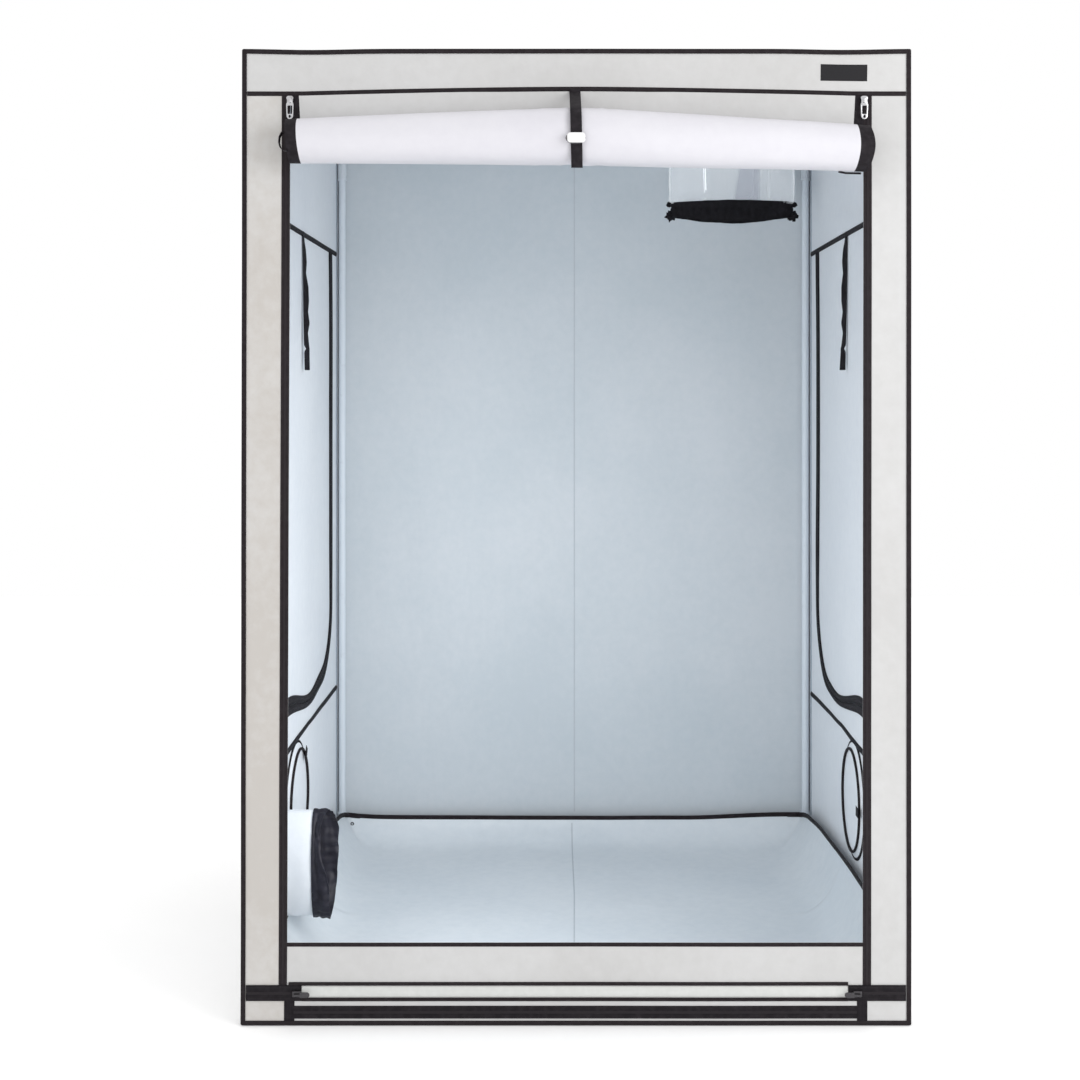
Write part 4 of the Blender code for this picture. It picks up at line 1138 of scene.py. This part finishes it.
tab_angles = {"left": 57, "right": 180}
drum_depth = abs(low("vent_cover_left").x)
for side, sign in sides.items():
    mesh = drape(disc(f"vent_mesh_{side}", sign * inner, 0.1275, 0, sign), side)
    hand_over(mesh, "tent", (insect_mesh.material,), (f"vent_frame_{side}",))
    wall_seat = sign * inner - sign * gap
    sew(f"vent_collar_{side}", side, ring_path(0.1385),
        flat_section(-0.0165, 0.0165, 0.0010, -sign), wall_seat, lining,
        closed=True)
    sew(f"vent_rim_{side}", side, ring_path(0.1525), crowned_section(0.0096, 0.0040, -sign),
        wall_seat, seam_tape, closed=True)
    sew(f"vent_rim_outside_{side}", side, ring_path(0.131),
        flat_section(-0.008, 0.008, 0.0008, sign), sign * outside_seat, seam_tape, closed=True)
    body = f"vent_{side}"
    drum_back = sign * drum_depth
    cover = disc(f"vent_cover_cloth_{side}", drum_back - sign * 0.006, 0.131, 0.0025, sign)
    drape(thicken(cover, 0.0010), side)
    hand_over(cover, body, (lining,), (f"vent_cover_{side}",))
    sew(f"vent_skirt_{side}", side, ring_path(0.1425),
        [(-0.0075, 0), (-0.0075, -sign * 0.0009), (0.0085, -sign * 0.0078),
         (0.0085, -sign * 0.0068)], drum_back, lining, body, closed=True)
    sew(f"vent_hoop_{side}", side, ring_path(0.1340), arc(0, 0, 0.0036, 0, 315, 7),
        drum_back - sign * 0.0095, piping_tape, body, angle=60, closed=True)
    turn = math.radians(tab_angles[side])
    start, end = [(vent.y + math.cos(turn) * away, vent.z + math.sin(turn) * away)
                  for away in (0.112, 0.148)]
    sew(f"vent_tab_{side}", side, [start, end],
        [(-0.0125, 0), (-0.0125, -sign * 0.0012), (0.0125, -sign * 0.0012), (0.0125, 0)],
        drum_back - sign * 0.0140, seam_tape, body)

# %% Tie straps, which twist a little as they hang
tie_turns = ((0, 2), (0.07, 6), (0.13, 17), (0.22, 24), (0.30, 16), (0.40, 33), (0.50, 34),
             (0.58, 22), (0.66, 34), (0.73, 17), (0.80, 24), (0.865, 30), (1.0, 33))
tie_length, tie_width = 0.38, 0.021
for side, sign in sides.items():
    tie_top = high(f"tie_strap_{side}").z
    tie_x = sign * (abs(low("tie_strap_left").x) - 0.0012)
    tie = grid(f"tie_{side}", 6, 72)
    for vertex in tie.data.vertices:
        t = 0.5 - vertex.co.y
        knot = hump(t - 0.845, 0.014)
        turn = math.radians(between(tie_turns, t) + 5 * sign * math.sin(7 * t))
        across = vertex.co.x * tie_width * (1 - 0.35 * knot)
        off = 0.0060 * t ** 1.5 + 0.0030 * knot + tie_width / 2 * math.sin(turn)
        x = tie_x - sign * (off + across * math.sin(turn))
        y = 0.046 - 0.004 * t + 0.002 * math.sin(9 * t + sign) + across * math.cos(turn)
        vertex.co = (x, y, tie_top - tie_length * t)
    thicken(tie, 0.0013, 0)
    hand_over(tie, f"tie_{side}", (seam_tape,), (f"tie_strap_{side}",), 60)

# %% Piping in the rear corners, where the side walls are sewn to the back
# Their finish is the thread painted darker, as painted shade of the corners.
for side, sign in sides.items():
    sew(f"corner_piping_{side}", side, [(0.706, 0.10), (0.706, 2.185)],
        crowned_section(0.0070, 0.0018, -sign), -inner_face * sign, shaded_thread, angle=60)

# %% The thread line down the back wall, where two panels are joined
back_seam = lay_tape("back_seam", [(0.002, 0.10), (0.002, 2.186)],
                     flat_section(-0.0018, 0.0018, 0.0005), "front", inner)
drape(back_seam)
for vertex in back_seam.data.vertices:
    vertex.co.y += wave("back", vertex.co) - 0.0002
hand_over(back_seam, "tent", (thread,))

# %% [markdown]
# ## The rolled door
#
# The door is one long cloth, rolled up from the foot with its white lining outwards. A solid
# bar would look wrong at its ends, so the cloth is really wound: a flat grid is bent by
# formula along a spiral that starts behind the roll, runs down and under it and up its
# front. Its black zip tapes are wound with it and show as dark ends. A strap pinches it.

# %% The roll's line and its radius along the door
roll_seat = high("door_roll").y
roll_start, roll_end = -0.6430, 0.6475
roll_levels = (1.9843, 1.9930, 1.9672)
roll_radii = (0.0514, 0.0680, 0.0538)
roll_depths = (0.0514, 0.0632, 0.0538)
strap_x = centre("door_strap").x
roll_turns = 6.4
pitch_share = 0.086
white_start, white_end = -0.6165, 0.6186


def along(share, values):
    """Two almost straight runs from the middle value to the left and right ones."""
    left, central, right = values
    t = 2 * share - 1
    end = left if t < 0 else right
    return central + (end - central) * abs(t) ** 1.05


def wound(share, x, t):
    """Where a place of the flat door cloth lies when it is wound; t runs inwards."""
    turn = t * roll_turns * 2 * math.pi
    radius = along(share, roll_radii)
    back, down = math.cos(turn), math.sin(turn)
    pinch = hump(x - strap_x, 0.020)
    near = hump(x - strap_x, 0.075)
    size = radius * (1 - pitch_share * roll_turns * t)
    slack = 0.0016 * noise.noise((x * 2.6, back * 1.3, down * 1.3 + 5))
    slack += 0.0008 * noise.noise((x * 9, back * 2.2, down * 2.2 + 9))
    slack += 0.0034 * near * noise.noise((x * 46, back * 1.2, down * 1.6))
    size += (slack - 0.0008) * (1 - 0.7 * t) - 0.0026 * pinch
    end = fade(abs(x) - 0.60, 0.05)
    ragged = (0.0012 if x > 0 else 0.0028) * noise.noise((turn * 0.7, x * 2, 3))
    bulge = 0.0055 * max(-back, 0) * (1 - down * down) if x > 0 else -0.001
    slant = fade(abs(x) - 0.54, 0.07)
    slant *= -0.0042 * max(down, 0) ** 2 if x > 0 else -0.0035 * down
    out = (1 if x > 0 else -1) * (end * (bulge + ragged - 0.010 * t) + slant)
    flatter = along(share, roll_depths) / radius
    return Vector((x + out, roll_seat - (radius - size * back) * flatter,
                   along(share, roll_levels) - size * down))


# %% Winding the door cloth
roll = grid("door_roll_cloth", 96, 300)
roll_length = roll_end - roll_start
for border in (white_start, white_end):
    slit(roll, ((border - roll_start) / roll_length - 0.5, 0, 0), (1, 0, 0))
dark_faces = [not white_start < roll_start + (face.center.x + 0.5) * roll_length < white_end
              for face in roll.data.polygons]
for vertex in roll.data.vertices:
    share = vertex.co.x + 0.5
    vertex.co = wound(share, roll_start + roll_length * share, 0.5 - vertex.co.y)
for face, dark in zip(roll.data.polygons, dark_faces):
    face.material_index = 1 if dark else 0
faced_out(roll)
roll.data.materials.append(white_cloth)
roll.data.materials.append(door_zip)
thicken(roll, cloth)
hand_over(roll, "rolled_door", (white_cloth, webbing), ("door_roll",), 60)

# %% A loop of tape at the roll's left end, and the tail of the zip under its right end
loop_line = [(-0.636, 2.0010), (-0.6490, 1.9960), (-0.6540, 1.9860), (-0.6550, 1.9740),
             (-0.6520, 1.9630), (-0.6460, 1.9570), (-0.636, 1.9550)]
loop = lay_tape("roll_loop", loop_line, [(-0.0007, -0.009), (0.0007, -0.009), (0.0007, 0.009),
                                         (-0.0007, 0.009)], "front", -0.838, 0.004, across=1)
hand_over(loop, "rolled_door", (webbing,), (), 50)
tail = lay_tape("roll_tail", [(0.580, 1.9160), (0.596, 1.9128), (0.630, 1.9120)],
                crowned_section(0.0046, 0.0040), "front", -0.798, 0.006)
hand_over(tail, "rolled_door", (webbing,), (), 60)

# %% The short run of cloth that hangs from the header to the roll
hang_top, hang_foot = header_low + 0.004, low("door_sheet").z
hang_half = high("door_sheet").x
hanging = put(grid("door_hanging_cloth", 100, 14),
              (0, -front_seat - 0.0009, (hang_top + hang_foot) / 2), (90, 0, 0),
              (2 * hang_half, hang_top - hang_foot, 1))
tape_edge, tape_lean = 0.6265, 0.055
slit(hanging, (-tape_edge, 0, hang_top), (1, 0, tape_lean))
slit(hanging, (tape_edge, 0, hang_top), (1, 0, -tape_lean))
for face in hanging.data.polygons:
    edge = tape_edge - (hang_top - face.center.z) * tape_lean
    face.material_index = 1 if abs(face.center.x) > edge else 0
hanging.data.materials.append(canvas)
hanging.data.materials.append(webbing)
thicken(hanging, 0.0008)
for vertex in hanging.data.vertices:
    place = vertex.co.copy()
    fold = hump(place.x - strap_x + 0.015, 0.03) * fade(2.085 - place.z, 0.05)
    vertex.co.y -= 0.0016 * fold + 0.0010 * fade(2.09 - place.z, 0.04) * (
        0.5 + noise.noise((place.x * 7, place.z * 9, 4)))
hand_over(hanging, None, (canvas, webbing), ("door_sheet",))
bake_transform(hanging)

# %% The strap over the roll
strap_thick = 0.0014
roll_radius = roll_radii[1]
roll_centre = (roll_seat - roll_radius, roll_levels[1])
strap_radius = roll_radius + 0.0012 + strap_thick / 2
strap_top, strap_foot = high("door_strap").z, low("door_strap").z
strap_back = low("doorway_trim").y - 0.0007 - strap_thick / 2
lift = strap_top - 0.006 - roll_centre[1]
away = strap_back - roll_centre[0]
reach = math.hypot(lift, away)
tangent = math.degrees(math.atan2(lift, away) + math.acos(min(strap_radius / reach, 1)))
strap_line = [(strap_back, strap_top), (strap_back, strap_top - 0.006)]
strap_line += arc(*roll_centre, strap_radius, tangent, 180, 20)
strap_line += arc(*roll_centre, strap_radius, 180, 216, 7)[1:]
strap_line += [(strap_line[-1][0] + 0.0235, strap_foot - 0.0078)]
strap = lay_tape("door_strap_webbing", strap_line,
                 [(-strap_thick / 2, -0.0125), (-strap_thick / 2, 0.0125),
                  (strap_thick / 2, 0.0125), (strap_thick / 2, -0.0125)], "side", 0, 0.008,
                 across=1)
for vertex in strap.data.vertices:
    down = (strap_top - vertex.co.z) / (strap_top - strap_foot)
    vertex.co.x += strap_x - 0.001 + 0.004 * down
    vertex.co.y += 0.0010 * math.sin(6 * down) * fade(vertex.co.y + 0.80, 0.04)
    vertex.co.y = roll_seat + (vertex.co.y - roll_seat) * roll_depths[1] / roll_radii[1]
modify(strap, "BEVEL", width=0.0004, segments=2, limit_method="ANGLE")
hand_over(strap, "strap", (webbing,), ("door_strap",), 50)

# %% The plate in the strap's ring: a rounded slab with a soft crown
ring_low, ring_high = low("strap_ring"), high("strap_ring")
plate_middle = Vector((-0.0027, 0, 1.9782))
plate_half_width, plate_half_height = 0.0198, 0.0111
plate = block("strap_plate", (plate_middle.x - plate_half_width, ring_low.y - 0.0002,
                              plate_middle.z - plate_half_height),
              (plate_middle.x + plate_half_width, ring_high.y + 0.0006,
               plate_middle.z + plate_half_height))
bevelled(plate, lambda place: near(abs(place.x - plate_middle.x), plate_half_width)
         and near(abs(place.z - plate_middle.z), plate_half_height), 0.0075, 8)
choose(plate, "FACE", lambda place: place.y < ring_low.y)
bpy.ops.mesh.inset(thickness=0.0012, depth=0.0004, use_individual=False)
modify(plate, "BEVEL", width=0.0006, segments=3, limit_method="ANGLE")
hand_over(plate, "strap", (plate_enamel,), (), 40)

# %% [markdown]
# ## Duct sleeves
#
# A sleeve is a tube of thin cloth or film, sewn round its port and flattened to a wide mouth
# with a gathered cuff. A grid is rolled into a tube and each ring of it is given its own
# oval, so the tube is round at the port and flat at the mouth, with folds that deepen on
# the way. The cuff is made in the same way, with the small gathers of its drawn cord.

# %% A tube from a grid
def tube(name, around, steps, place_of):
    """Rolls a grid into a tube; place_of gives the place for an angle and a share along it."""
    piece = grid(name, around, steps)
    for vertex in piece.data.vertices:
        turn = (vertex.co.x + 0.5) * 2 * math.pi
        vertex.co = place_of(turn, 0.5 - vertex.co.y)
    return welded(piece, 0.0001)


def oval(turn, long_way, short_way):
    """A place on an oval."""
    return long_way * math.cos(turn), short_way * math.sin(turn)


# %% Exhaust sleeve of clear film, and its cuff
film_top, film_foot = roof_face - cloth, high("roof_cuff").z
cuff_foot = low("roof_cuff").z
mouth_long = (high("roof_cuff").x - low("roof_cuff").x) / 2 - 0.0065
mouth_short = 0.030


def film_place(turn, t):
    """A place on the film: round at the roof, flat at the cuff, with soft folds."""
    flat = fade(t, 0.5)
    long_way = port_radius + (mouth_long - port_radius) * flat
    short_way = port_radius + (mouth_short - port_radius) * flat
    u, v = oval(turn, long_way, short_way)
    fold = 0.0055 * flat * math.sin(math.pi * min(t, 0.92)) + 0.0010 * flat
    v += fold * noise.noise((u * 15, t * 1.5, 2.0 if v > 0 else 7.0))
    u += 0.003 * flat * noise.noise((t * 5, turn, 3))
    if v < 0:
        v -= 0.0050 * flat * hump(u + 0.080, 0.0045) * fade(0.9 - t, 0.5)
    film_end = film_foot - 0.0050 - 0.0080 * min(abs(u / mouth_long), 1) ** 1.3
    return Vector((port.x + u, port.y + v, film_top + (film_end - film_top) * t))


film = tube("roof_sleeve_film", 128, 26, film_place)
thicken(film, 0.0005, 0)
hand_over(film, None, (clear_film.material,), ("roof_sleeve",), 60)
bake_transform(film)


def cuff_place(turn, t, long_way, short_way, gathers, seed):
    """A place on a cuff: gathers round it, a waist where the cord is, a ragged rim."""
    waist = hump(t - 0.34, 0.13) + 0.5 * hump(t - 0.98, 0.10)
    gather = math.sin(gathers * turn + 2.4 * noise.noise((math.cos(turn) * 2, math.sin(turn) * 2,
                                                         seed)))
    swell = 0.0032 * (1 - waist) + 0.0016 * gather * (0.4 + 0.6 * t)
    crumple = 0.0030 * noise.noise((math.cos(turn) * 7, math.sin(turn) * 7, t * 3 + seed))
    return oval(turn, long_way + swell * 0.6 + crumple, short_way + swell + crumple)


def cuff_top(u):
    """The height of the roof cuff's seam, which droops a little at both ends."""
    return film_foot - 0.0030 - (0.0058 if u < 0 else 0.0034) * min(abs(u / mouth_long), 1)


def roof_cuff_place(turn, t):
    """A place on the cuff, which sags in the middle and is drawn up at its ends."""
    u, v = cuff_place(turn, t, mouth_long - 0.0070, mouth_short + 0.0015, 46, 3.0)
    share = min(abs(u / mouth_long), 1)
    foot_level = cuff_foot + 0.0020 + 0.0160 * share ** 1.4
    rim = 0.0030 * noise.noise((u * 18, v * 9, 8)) * t
    crumple = 0.0040 * noise.noise((u * 21, v * 9, t * 2.5 + 31)) * math.sin(math.pi * t)
    top_level = cuff_top(u) + 0.0012 * noise.noise((u * 30, v * 5, 12))
    return Vector((port.x + u, port.y + v + crumple, top_level + (foot_level - top_level) * t + rim))


roof_cuff = tube("roof_cuff_cloth", 184, 14, roof_cuff_place)
thicken(roof_cuff, 0.0014, 0)
hand_over(roof_cuff, "roof_mouth", (elastic,), ("roof_cuff",), 60)

# %% The drawn cord's ends: a crumpled tuft and a smaller one above it, at each end of the cuff
tufts = 0
for sign in (-1, 1):
    for level, size, out in ((1.9540, 0.0135, -0.0050), (1.9880, 0.0075, -0.0010)):
        tufts += 1
        tuft = started(f"cuff_tuft_{tufts}", bpy.ops.mesh.primitive_ico_sphere_add,
                       subdivisions=4, radius=1)
        for vertex in tuft.data.vertices:
            way = vertex.co.normalized()
            rough = 1 + 0.55 * noise.noise(way * 2.3 + Vector((tufts * 3, 0, 0)))
            rough += 0.30 * noise.noise(way * 6.0 + Vector((0, tufts * 5, 0)))
            vertex.co = way * size * rough
            vertex.co.y *= 0.55
        tuft.location = (port.x + sign * (mouth_long + out), port.y - 0.004, level)
        hand_over(tuft, "roof_mouth", (elastic,), (), 30)

# %% Intake sleeve in the left wall, and its cuff
sleeve_start = -inner
sleeve_end, side_cuff_end = low("side_cuff").x, high("side_cuff").x
side_long, side_short = 0.1325, 0.042


def side_place(turn, t):
    """A place on the white sleeve: round at the wall, flat at its cuff."""
    flat = fade(t, 0.28)
    u, v = oval(turn, intake_radius + (side_long - intake_radius) * flat,
                intake_radius + (side_short - intake_radius) * flat)
    v += 0.0035 * flat * noise.noise((u * 13, t * 2, 2.0 if v > 0 else 7.0))
    u += 0.0020 * flat * noise.noise((t * 5, turn, 13))
    return Vector((sleeve_start + (sleeve_end - sleeve_start) * t, intake.y + v, intake.z + u))


side_sleeve = tube("side_sleeve_cloth", 112, 14, side_place)
thicken(side_sleeve, 0.0010, 0)
hand_over(side_sleeve, None, (lining,), ("side_sleeve",), 60)
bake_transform(side_sleeve)
lip_behind = ((-1, -0.015), (-0.4, -0.007), (0.2, -0.004), (0.6, -0.002), (0.85, -0.009),
              (1, -0.021))
lip_in_front = ((-1, -0.017), (-0.5, -0.014), (-0.1, -0.022), (0.3, -0.036), (0.7, -0.038),
                (1, -0.026))


def side_cuff_place(turn, t):
    """A place on the limp cuff, whose near lip has dropped back from its mouth."""
    u, v = cuff_place(turn, t, side_long + 0.0010, side_short + 0.0010, 34, 11.0)
    behind = min(max(math.sin(turn) * 2.5, -1), 1) / 2 + 0.5
    lip = (between(lip_behind, math.cos(turn)) * behind
           + between(lip_in_front, math.cos(turn)) * (1 - behind))
    length = side_cuff_end - sleeve_end + lip
    crumple = 0.0040 * noise.noise((u * 22, v * 12, 2 + t * 2.0)) * t
    v += 0.0110 * noise.noise((u * 14, t * 2.6, 21)) * t - 0.005 * t * (1 - behind)
    return Vector((sleeve_end + length * t + crumple, intake.y + v, intake.z + u))


side_cuff = tube("side_cuff_cloth", 136, 14, side_cuff_place)
thicken(side_cuff, 0.0014, 0)
hand_over(side_cuff, "side_mouth", (cuff_nylon.material,), ("side_cuff",), 60)

# %% [markdown]
# ## Spill tray
#
# The tray is a loose sheet of the lining cloth with its edges turned up and a black rim. A
# grid covers its floor and sides at once: the outer rows are lifted, lower at the back and
# under the intake sleeve, and the floor between is left almost flat with a few soft waves.

# %% The tray's floor and turned-up sides
tray_base = low("spill_tray").z + 0.0002
rim_half = high("spill_tray").x - 0.0008
corner = 0.026
hem_share, floor_share = 0.93, 0.68
hem_rise = 0.14
rim_sides = ((-0.716, 0.168), (-0.5, 0.179), (-0.3, 0.182), (-0.13, 0.178), (0.107, 0.165),
             (0.353, 0.153), (0.60, 0.130), (0.716, 0.104))
rim_push = ((-0.716, 0.0), (-0.5, 0.009), (0.12, 0.0095), (0.40, 0.007), (0.66, 0.002), (0.716, 0))


def rim_height(x, y):
    """The height of the rim: low at the back, high along the sides, dipping at the intake."""
    on_side = min(abs(x) / rim_half, 1) ** 12
    end = 0.165 if y < 0 else 0.0935 + 0.010 * fade(x - 0.35, 0.3)
    level = end + (between(rim_sides, y) - end) * on_side
    if x < 0:
        off = min(abs(y - intake.y) / 0.19, 1)
        level -= 0.080 * on_side * (1 - off * off) ** 2
    return level + 0.0020 * noise.noise((x * 5, y * 5, 3))


def pushed(x, y, share):
    """The rim leans out along the sides."""
    out = between(rim_push, y) + (0.006 * hump(y - intake.y, 0.09) if x < 0 else 0)
    return x + math.copysign(out * share * fade(abs(x) - 0.60, 0.10), x), y


def rounded(u, v, size):
    """A place of a square moved so that the square gets round corners."""
    reach = max(abs(u), abs(v))
    if reach < 1e-6:
        return 0.0, 0.0
    a, b = u / reach, v / reach
    flat = size - corner
    x, y = a * size, b * size
    if abs(x) > flat and abs(y) > flat:
        share = (min(abs(x), abs(y)) - flat) / corner
        turn = share * math.pi / 4
        long, short = flat + corner * math.cos(turn), flat + corner * math.sin(turn)
        x, y = (long, short) if abs(x) >= abs(y) else (short, long)
        x, y = math.copysign(x, a), math.copysign(y, b)
    return x * reach, y * reach


def tray_level(x, y):
    """The height of the tray's cloth over a place, and how far up its side that is."""
    reach = min(max(abs(x), abs(y)) / rim_half, 1) * hem_share
    t = max(reach - floor_share, 0) / (hem_share - floor_share)
    swell = fade(1 - reach, 0.2) * 0.0022 * (0.6 + noise.noise((x * 3.2, y * 2.3, 6)))
    steep = 0.11 * t ** 1.6 + 0.75 * t ** 5
    return tray_base + swell + (rim_height(x, y) - tray_base) * steep, steep


tray = grid("spill_tray_cloth", 110, 110, 2)
for vertex in tray.data.vertices:
    reach = max(abs(vertex.co.x), abs(vertex.co.y))
    unit = (vertex.co.x / reach, vertex.co.y / reach) if reach else (0, 0)
    x, y = rounded(*unit, rim_half)
    out = min(reach / hem_share, 1)
    x, y = x * out, y * out
    level, steep = tray_level(x, y)
    hem = max(reach - hem_share, 0) / (1 - hem_share)
    level += hem_rise * hem * (rim_height(x, y) - tray_base)
    x, y = pushed(x, y, steep + hem_rise * hem)
    vertex.co = (x, y, level)
faced_out(tray)
if tray.data.polygons[len(tray.data.polygons) // 2].normal.z < 0:
    choose(tray, "FACE", anywhere)
    bpy.ops.mesh.flip_normals()
thicken(tray, 0.0012, 1)
hand_over(tray, "tent", (tray_cloth,), ("spill_tray",), 50)

# %% The tray's black rim, folded over its edge
rim_points = []
rim_steps = 200
for index in range(rim_steps):
    turn = 2 * math.pi * index / rim_steps
    u, v = math.cos(turn), math.sin(turn)
    reach = max(abs(u), abs(v))
    rim_points.append(pushed(*rounded(u / reach, v / reach, rim_half), 1))
rim_points.append(rim_points[0])
tray_rim = lay_tape("spill_tray_rim", rim_points,
                    [(-0.0014, -0.0135), (-0.0026, -0.004), (-0.0020, 0.0004), (0.0, 0.0018),
                     (0.0020, 0.0004), (0.0026, -0.004), (0.0014, -0.0135)], "floor", 0, 0.5,
                    closed=True, across=1)
for vertex in tray_rim.data.vertices:
    vertex.co.z += rim_height(vertex.co.x, vertex.co.y)
hand_over(tray_rim, "tent", (piping_tape,), (), 50)

# %% The thread line down the tray's floor, and the eyelet at its back corner
tray_seam = lay_tape("tray_seam", [(-0.006, -0.69), (-0.001, 0.20), (-0.006, 0.712)],
                     flat_section(-0.0020, 0.0020, 0.0005), "floor", 0)
for vertex in tray_seam.data.vertices:
    vertex.co.z += tray_level(vertex.co.x, vertex.co.y)[0] + 0.0014
hand_over(tray_seam, "tent", (thread,))

eyelet_y = max((index / 1000 for index in range(600, 716)),
               key=lambda y: -abs(tray_level(-0.696, y)[0] - 0.072))
eyelet = lay_tape("tray_eyelet", arc(-0.696, 0.072, 0.0042, 0, 360, 20),
                  [(u * 0.0016, v * 0.0012) for u, v in arc(0, 0, 1, 0, 315, 7)], "front",
                  eyelet_y - 0.0035, closed=True)
hand_over(eyelet, "tent", (dark_metal,), (), 60)

# %% [markdown]
# ## Patch on the header
#
# A small black patch is sewn on at the right of the header. It is left plain here. It is
# inset three times, which gives it a hem that stands out a little.

# %% The patch
patch = put(started("header_patch", bpy.ops.mesh.primitive_plane_add, size=1),
            (0.6013, -outer - 0.0004, 2.1463), (90, 0.7, 0), (0.105, 0.039, 1))
subdivided(patch, 5)
drape(patch, "front")
choose(patch, "FACE", anywhere)
for width, rise in ((0.0006, 0.0006), (0.0022, 0.0), (0.0005, -0.0003)):
    bpy.ops.mesh.inset(thickness=width, depth=rise, use_individual=False)
hand_over(patch, "tent", (patch_cloth.material,), (), 30)

# %% [markdown]
# ## Frame, bars and zip pulls
#
# The pulls and the bodies of the door's zips are cut from blocks and bevelled. Posts, rails,
# sockets and bars are right as they come from the plain model: each keeps its mesh and only
# gets its finish in the place of the plain one.

# %% Pulls of the door zips: a flat drop with a window and a small hole
for side, sign in sides.items():
    pull_low, pull_high = low(f"door_pull_{side}"), high(f"door_pull_{side}")
    middle_x = (pull_low.x + pull_high.x) / 2
    foot_z, top_z, wide = pull_low.z - 0.0025, pull_high.z - 0.0090, 0.0084
    pull = block(f"zip_pull_{side}", (middle_x - wide, pull_low.y - 0.0004, foot_z),
                 (middle_x + wide, pull_high.y, top_z))
    for level, size in ((foot_z, 0.0078), (top_z, 0.0060)):
        bevelled(pull, lambda place: near(place.z, level) and
                 near(abs(place.x - middle_x), wide), size, 6)
    window = block("window", (middle_x - 0.0053, pull_low.y - 0.01, foot_z + 0.0118),
                   (middle_x + 0.0053, pull_high.y + 0.01, foot_z + 0.0306))
    bevelled(window, lambda place: near(abs(place.x - middle_x), 0.0053) and
             abs(place.z - foot_z - 0.0212) > 0.0080, 0.0014, 3)
    hole = disc_tool("hole", (middle_x, pull_low.y, foot_z + 0.0062), 0.0034, (90, 0, 0), 20)
    cut(pull, [window, hole])
    for vertex in pull.data.vertices:
        vertex.co.x += (middle_x - vertex.co.x) * 0.16 * fade(foot_z + 0.02 - vertex.co.z, 0.02)
    modify(pull, "BEVEL", width=0.00045, segments=2, limit_method="ANGLE")
    hand_over(pull, f"pull_{side}", (zip_metal,), (f"door_pull_{side}",), 40)

# %% Bodies of the door zips' sliders: a rounded slab, waisted, with a bridge for the pull
for side, sign in sides.items():
    body_low = low(f"door_slider_{side}") - Vector((0, 0, 0.0025))
    body_high = high(f"door_slider_{side}") - Vector((0, 0, 0.0042))
    middle_x = (body_low.x + body_high.x) / 2
    middle_z = (body_low.z + body_high.z) / 2
    wide = 0.0080
    body = block(f"zip_slider_{side}", (middle_x - wide, body_low.y + 0.0025, body_low.z),
                 (middle_x + wide, body_high.y, body_high.z))
    bevelled(body, lambda place: near(abs(place.x - middle_x), wide) and
             abs(place.z - middle_z) > 0.008, 0.0050, 5)
    subdivided(body, 1)
    for vertex in body.data.vertices:
        up = (vertex.co.z - body_low.z) / (body_high.z - body_low.z)
        vertex.co.x += (middle_x - vertex.co.x) * 0.22 * math.sin(math.pi * min(up * 1.3, 1)) ** 2
    bridge = block("bridge", (middle_x - 0.0028, body_low.y, body_low.z + 0.0020),
                   (middle_x + 0.0028, body_low.y + 0.0045, body_high.z - 0.0030))
    bevelled(bridge, lambda place: near(place.y, body_low.y) and
             abs(place.z - middle_z) > 0.005, 0.0028, 4)
    cut(body, [bridge], "UNION")
    modify(body, "BEVEL", width=0.0005, segments=2, limit_method="ANGLE")
    hand_over(body, f"slider_{side}", (zip_metal,), (f"door_slider_{side}",), 40)

# %% Finishes of the plain nodes
kept = {"corner": socket_plastic, "post": post_paint, "top_rail": post_paint,
        "base_rail": post_paint, "lamp_bar": bar_steel, "base_slider": dark_metal,
        "strap_ring": dark_metal}
finished = 0
for node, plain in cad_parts.items():
    for start, finish in kept.items():
        if node.startswith(start):
            for place in plain.material_slots:
                place.material = finish
            finished += 1
print(finished, "plain nodes have their finishes")
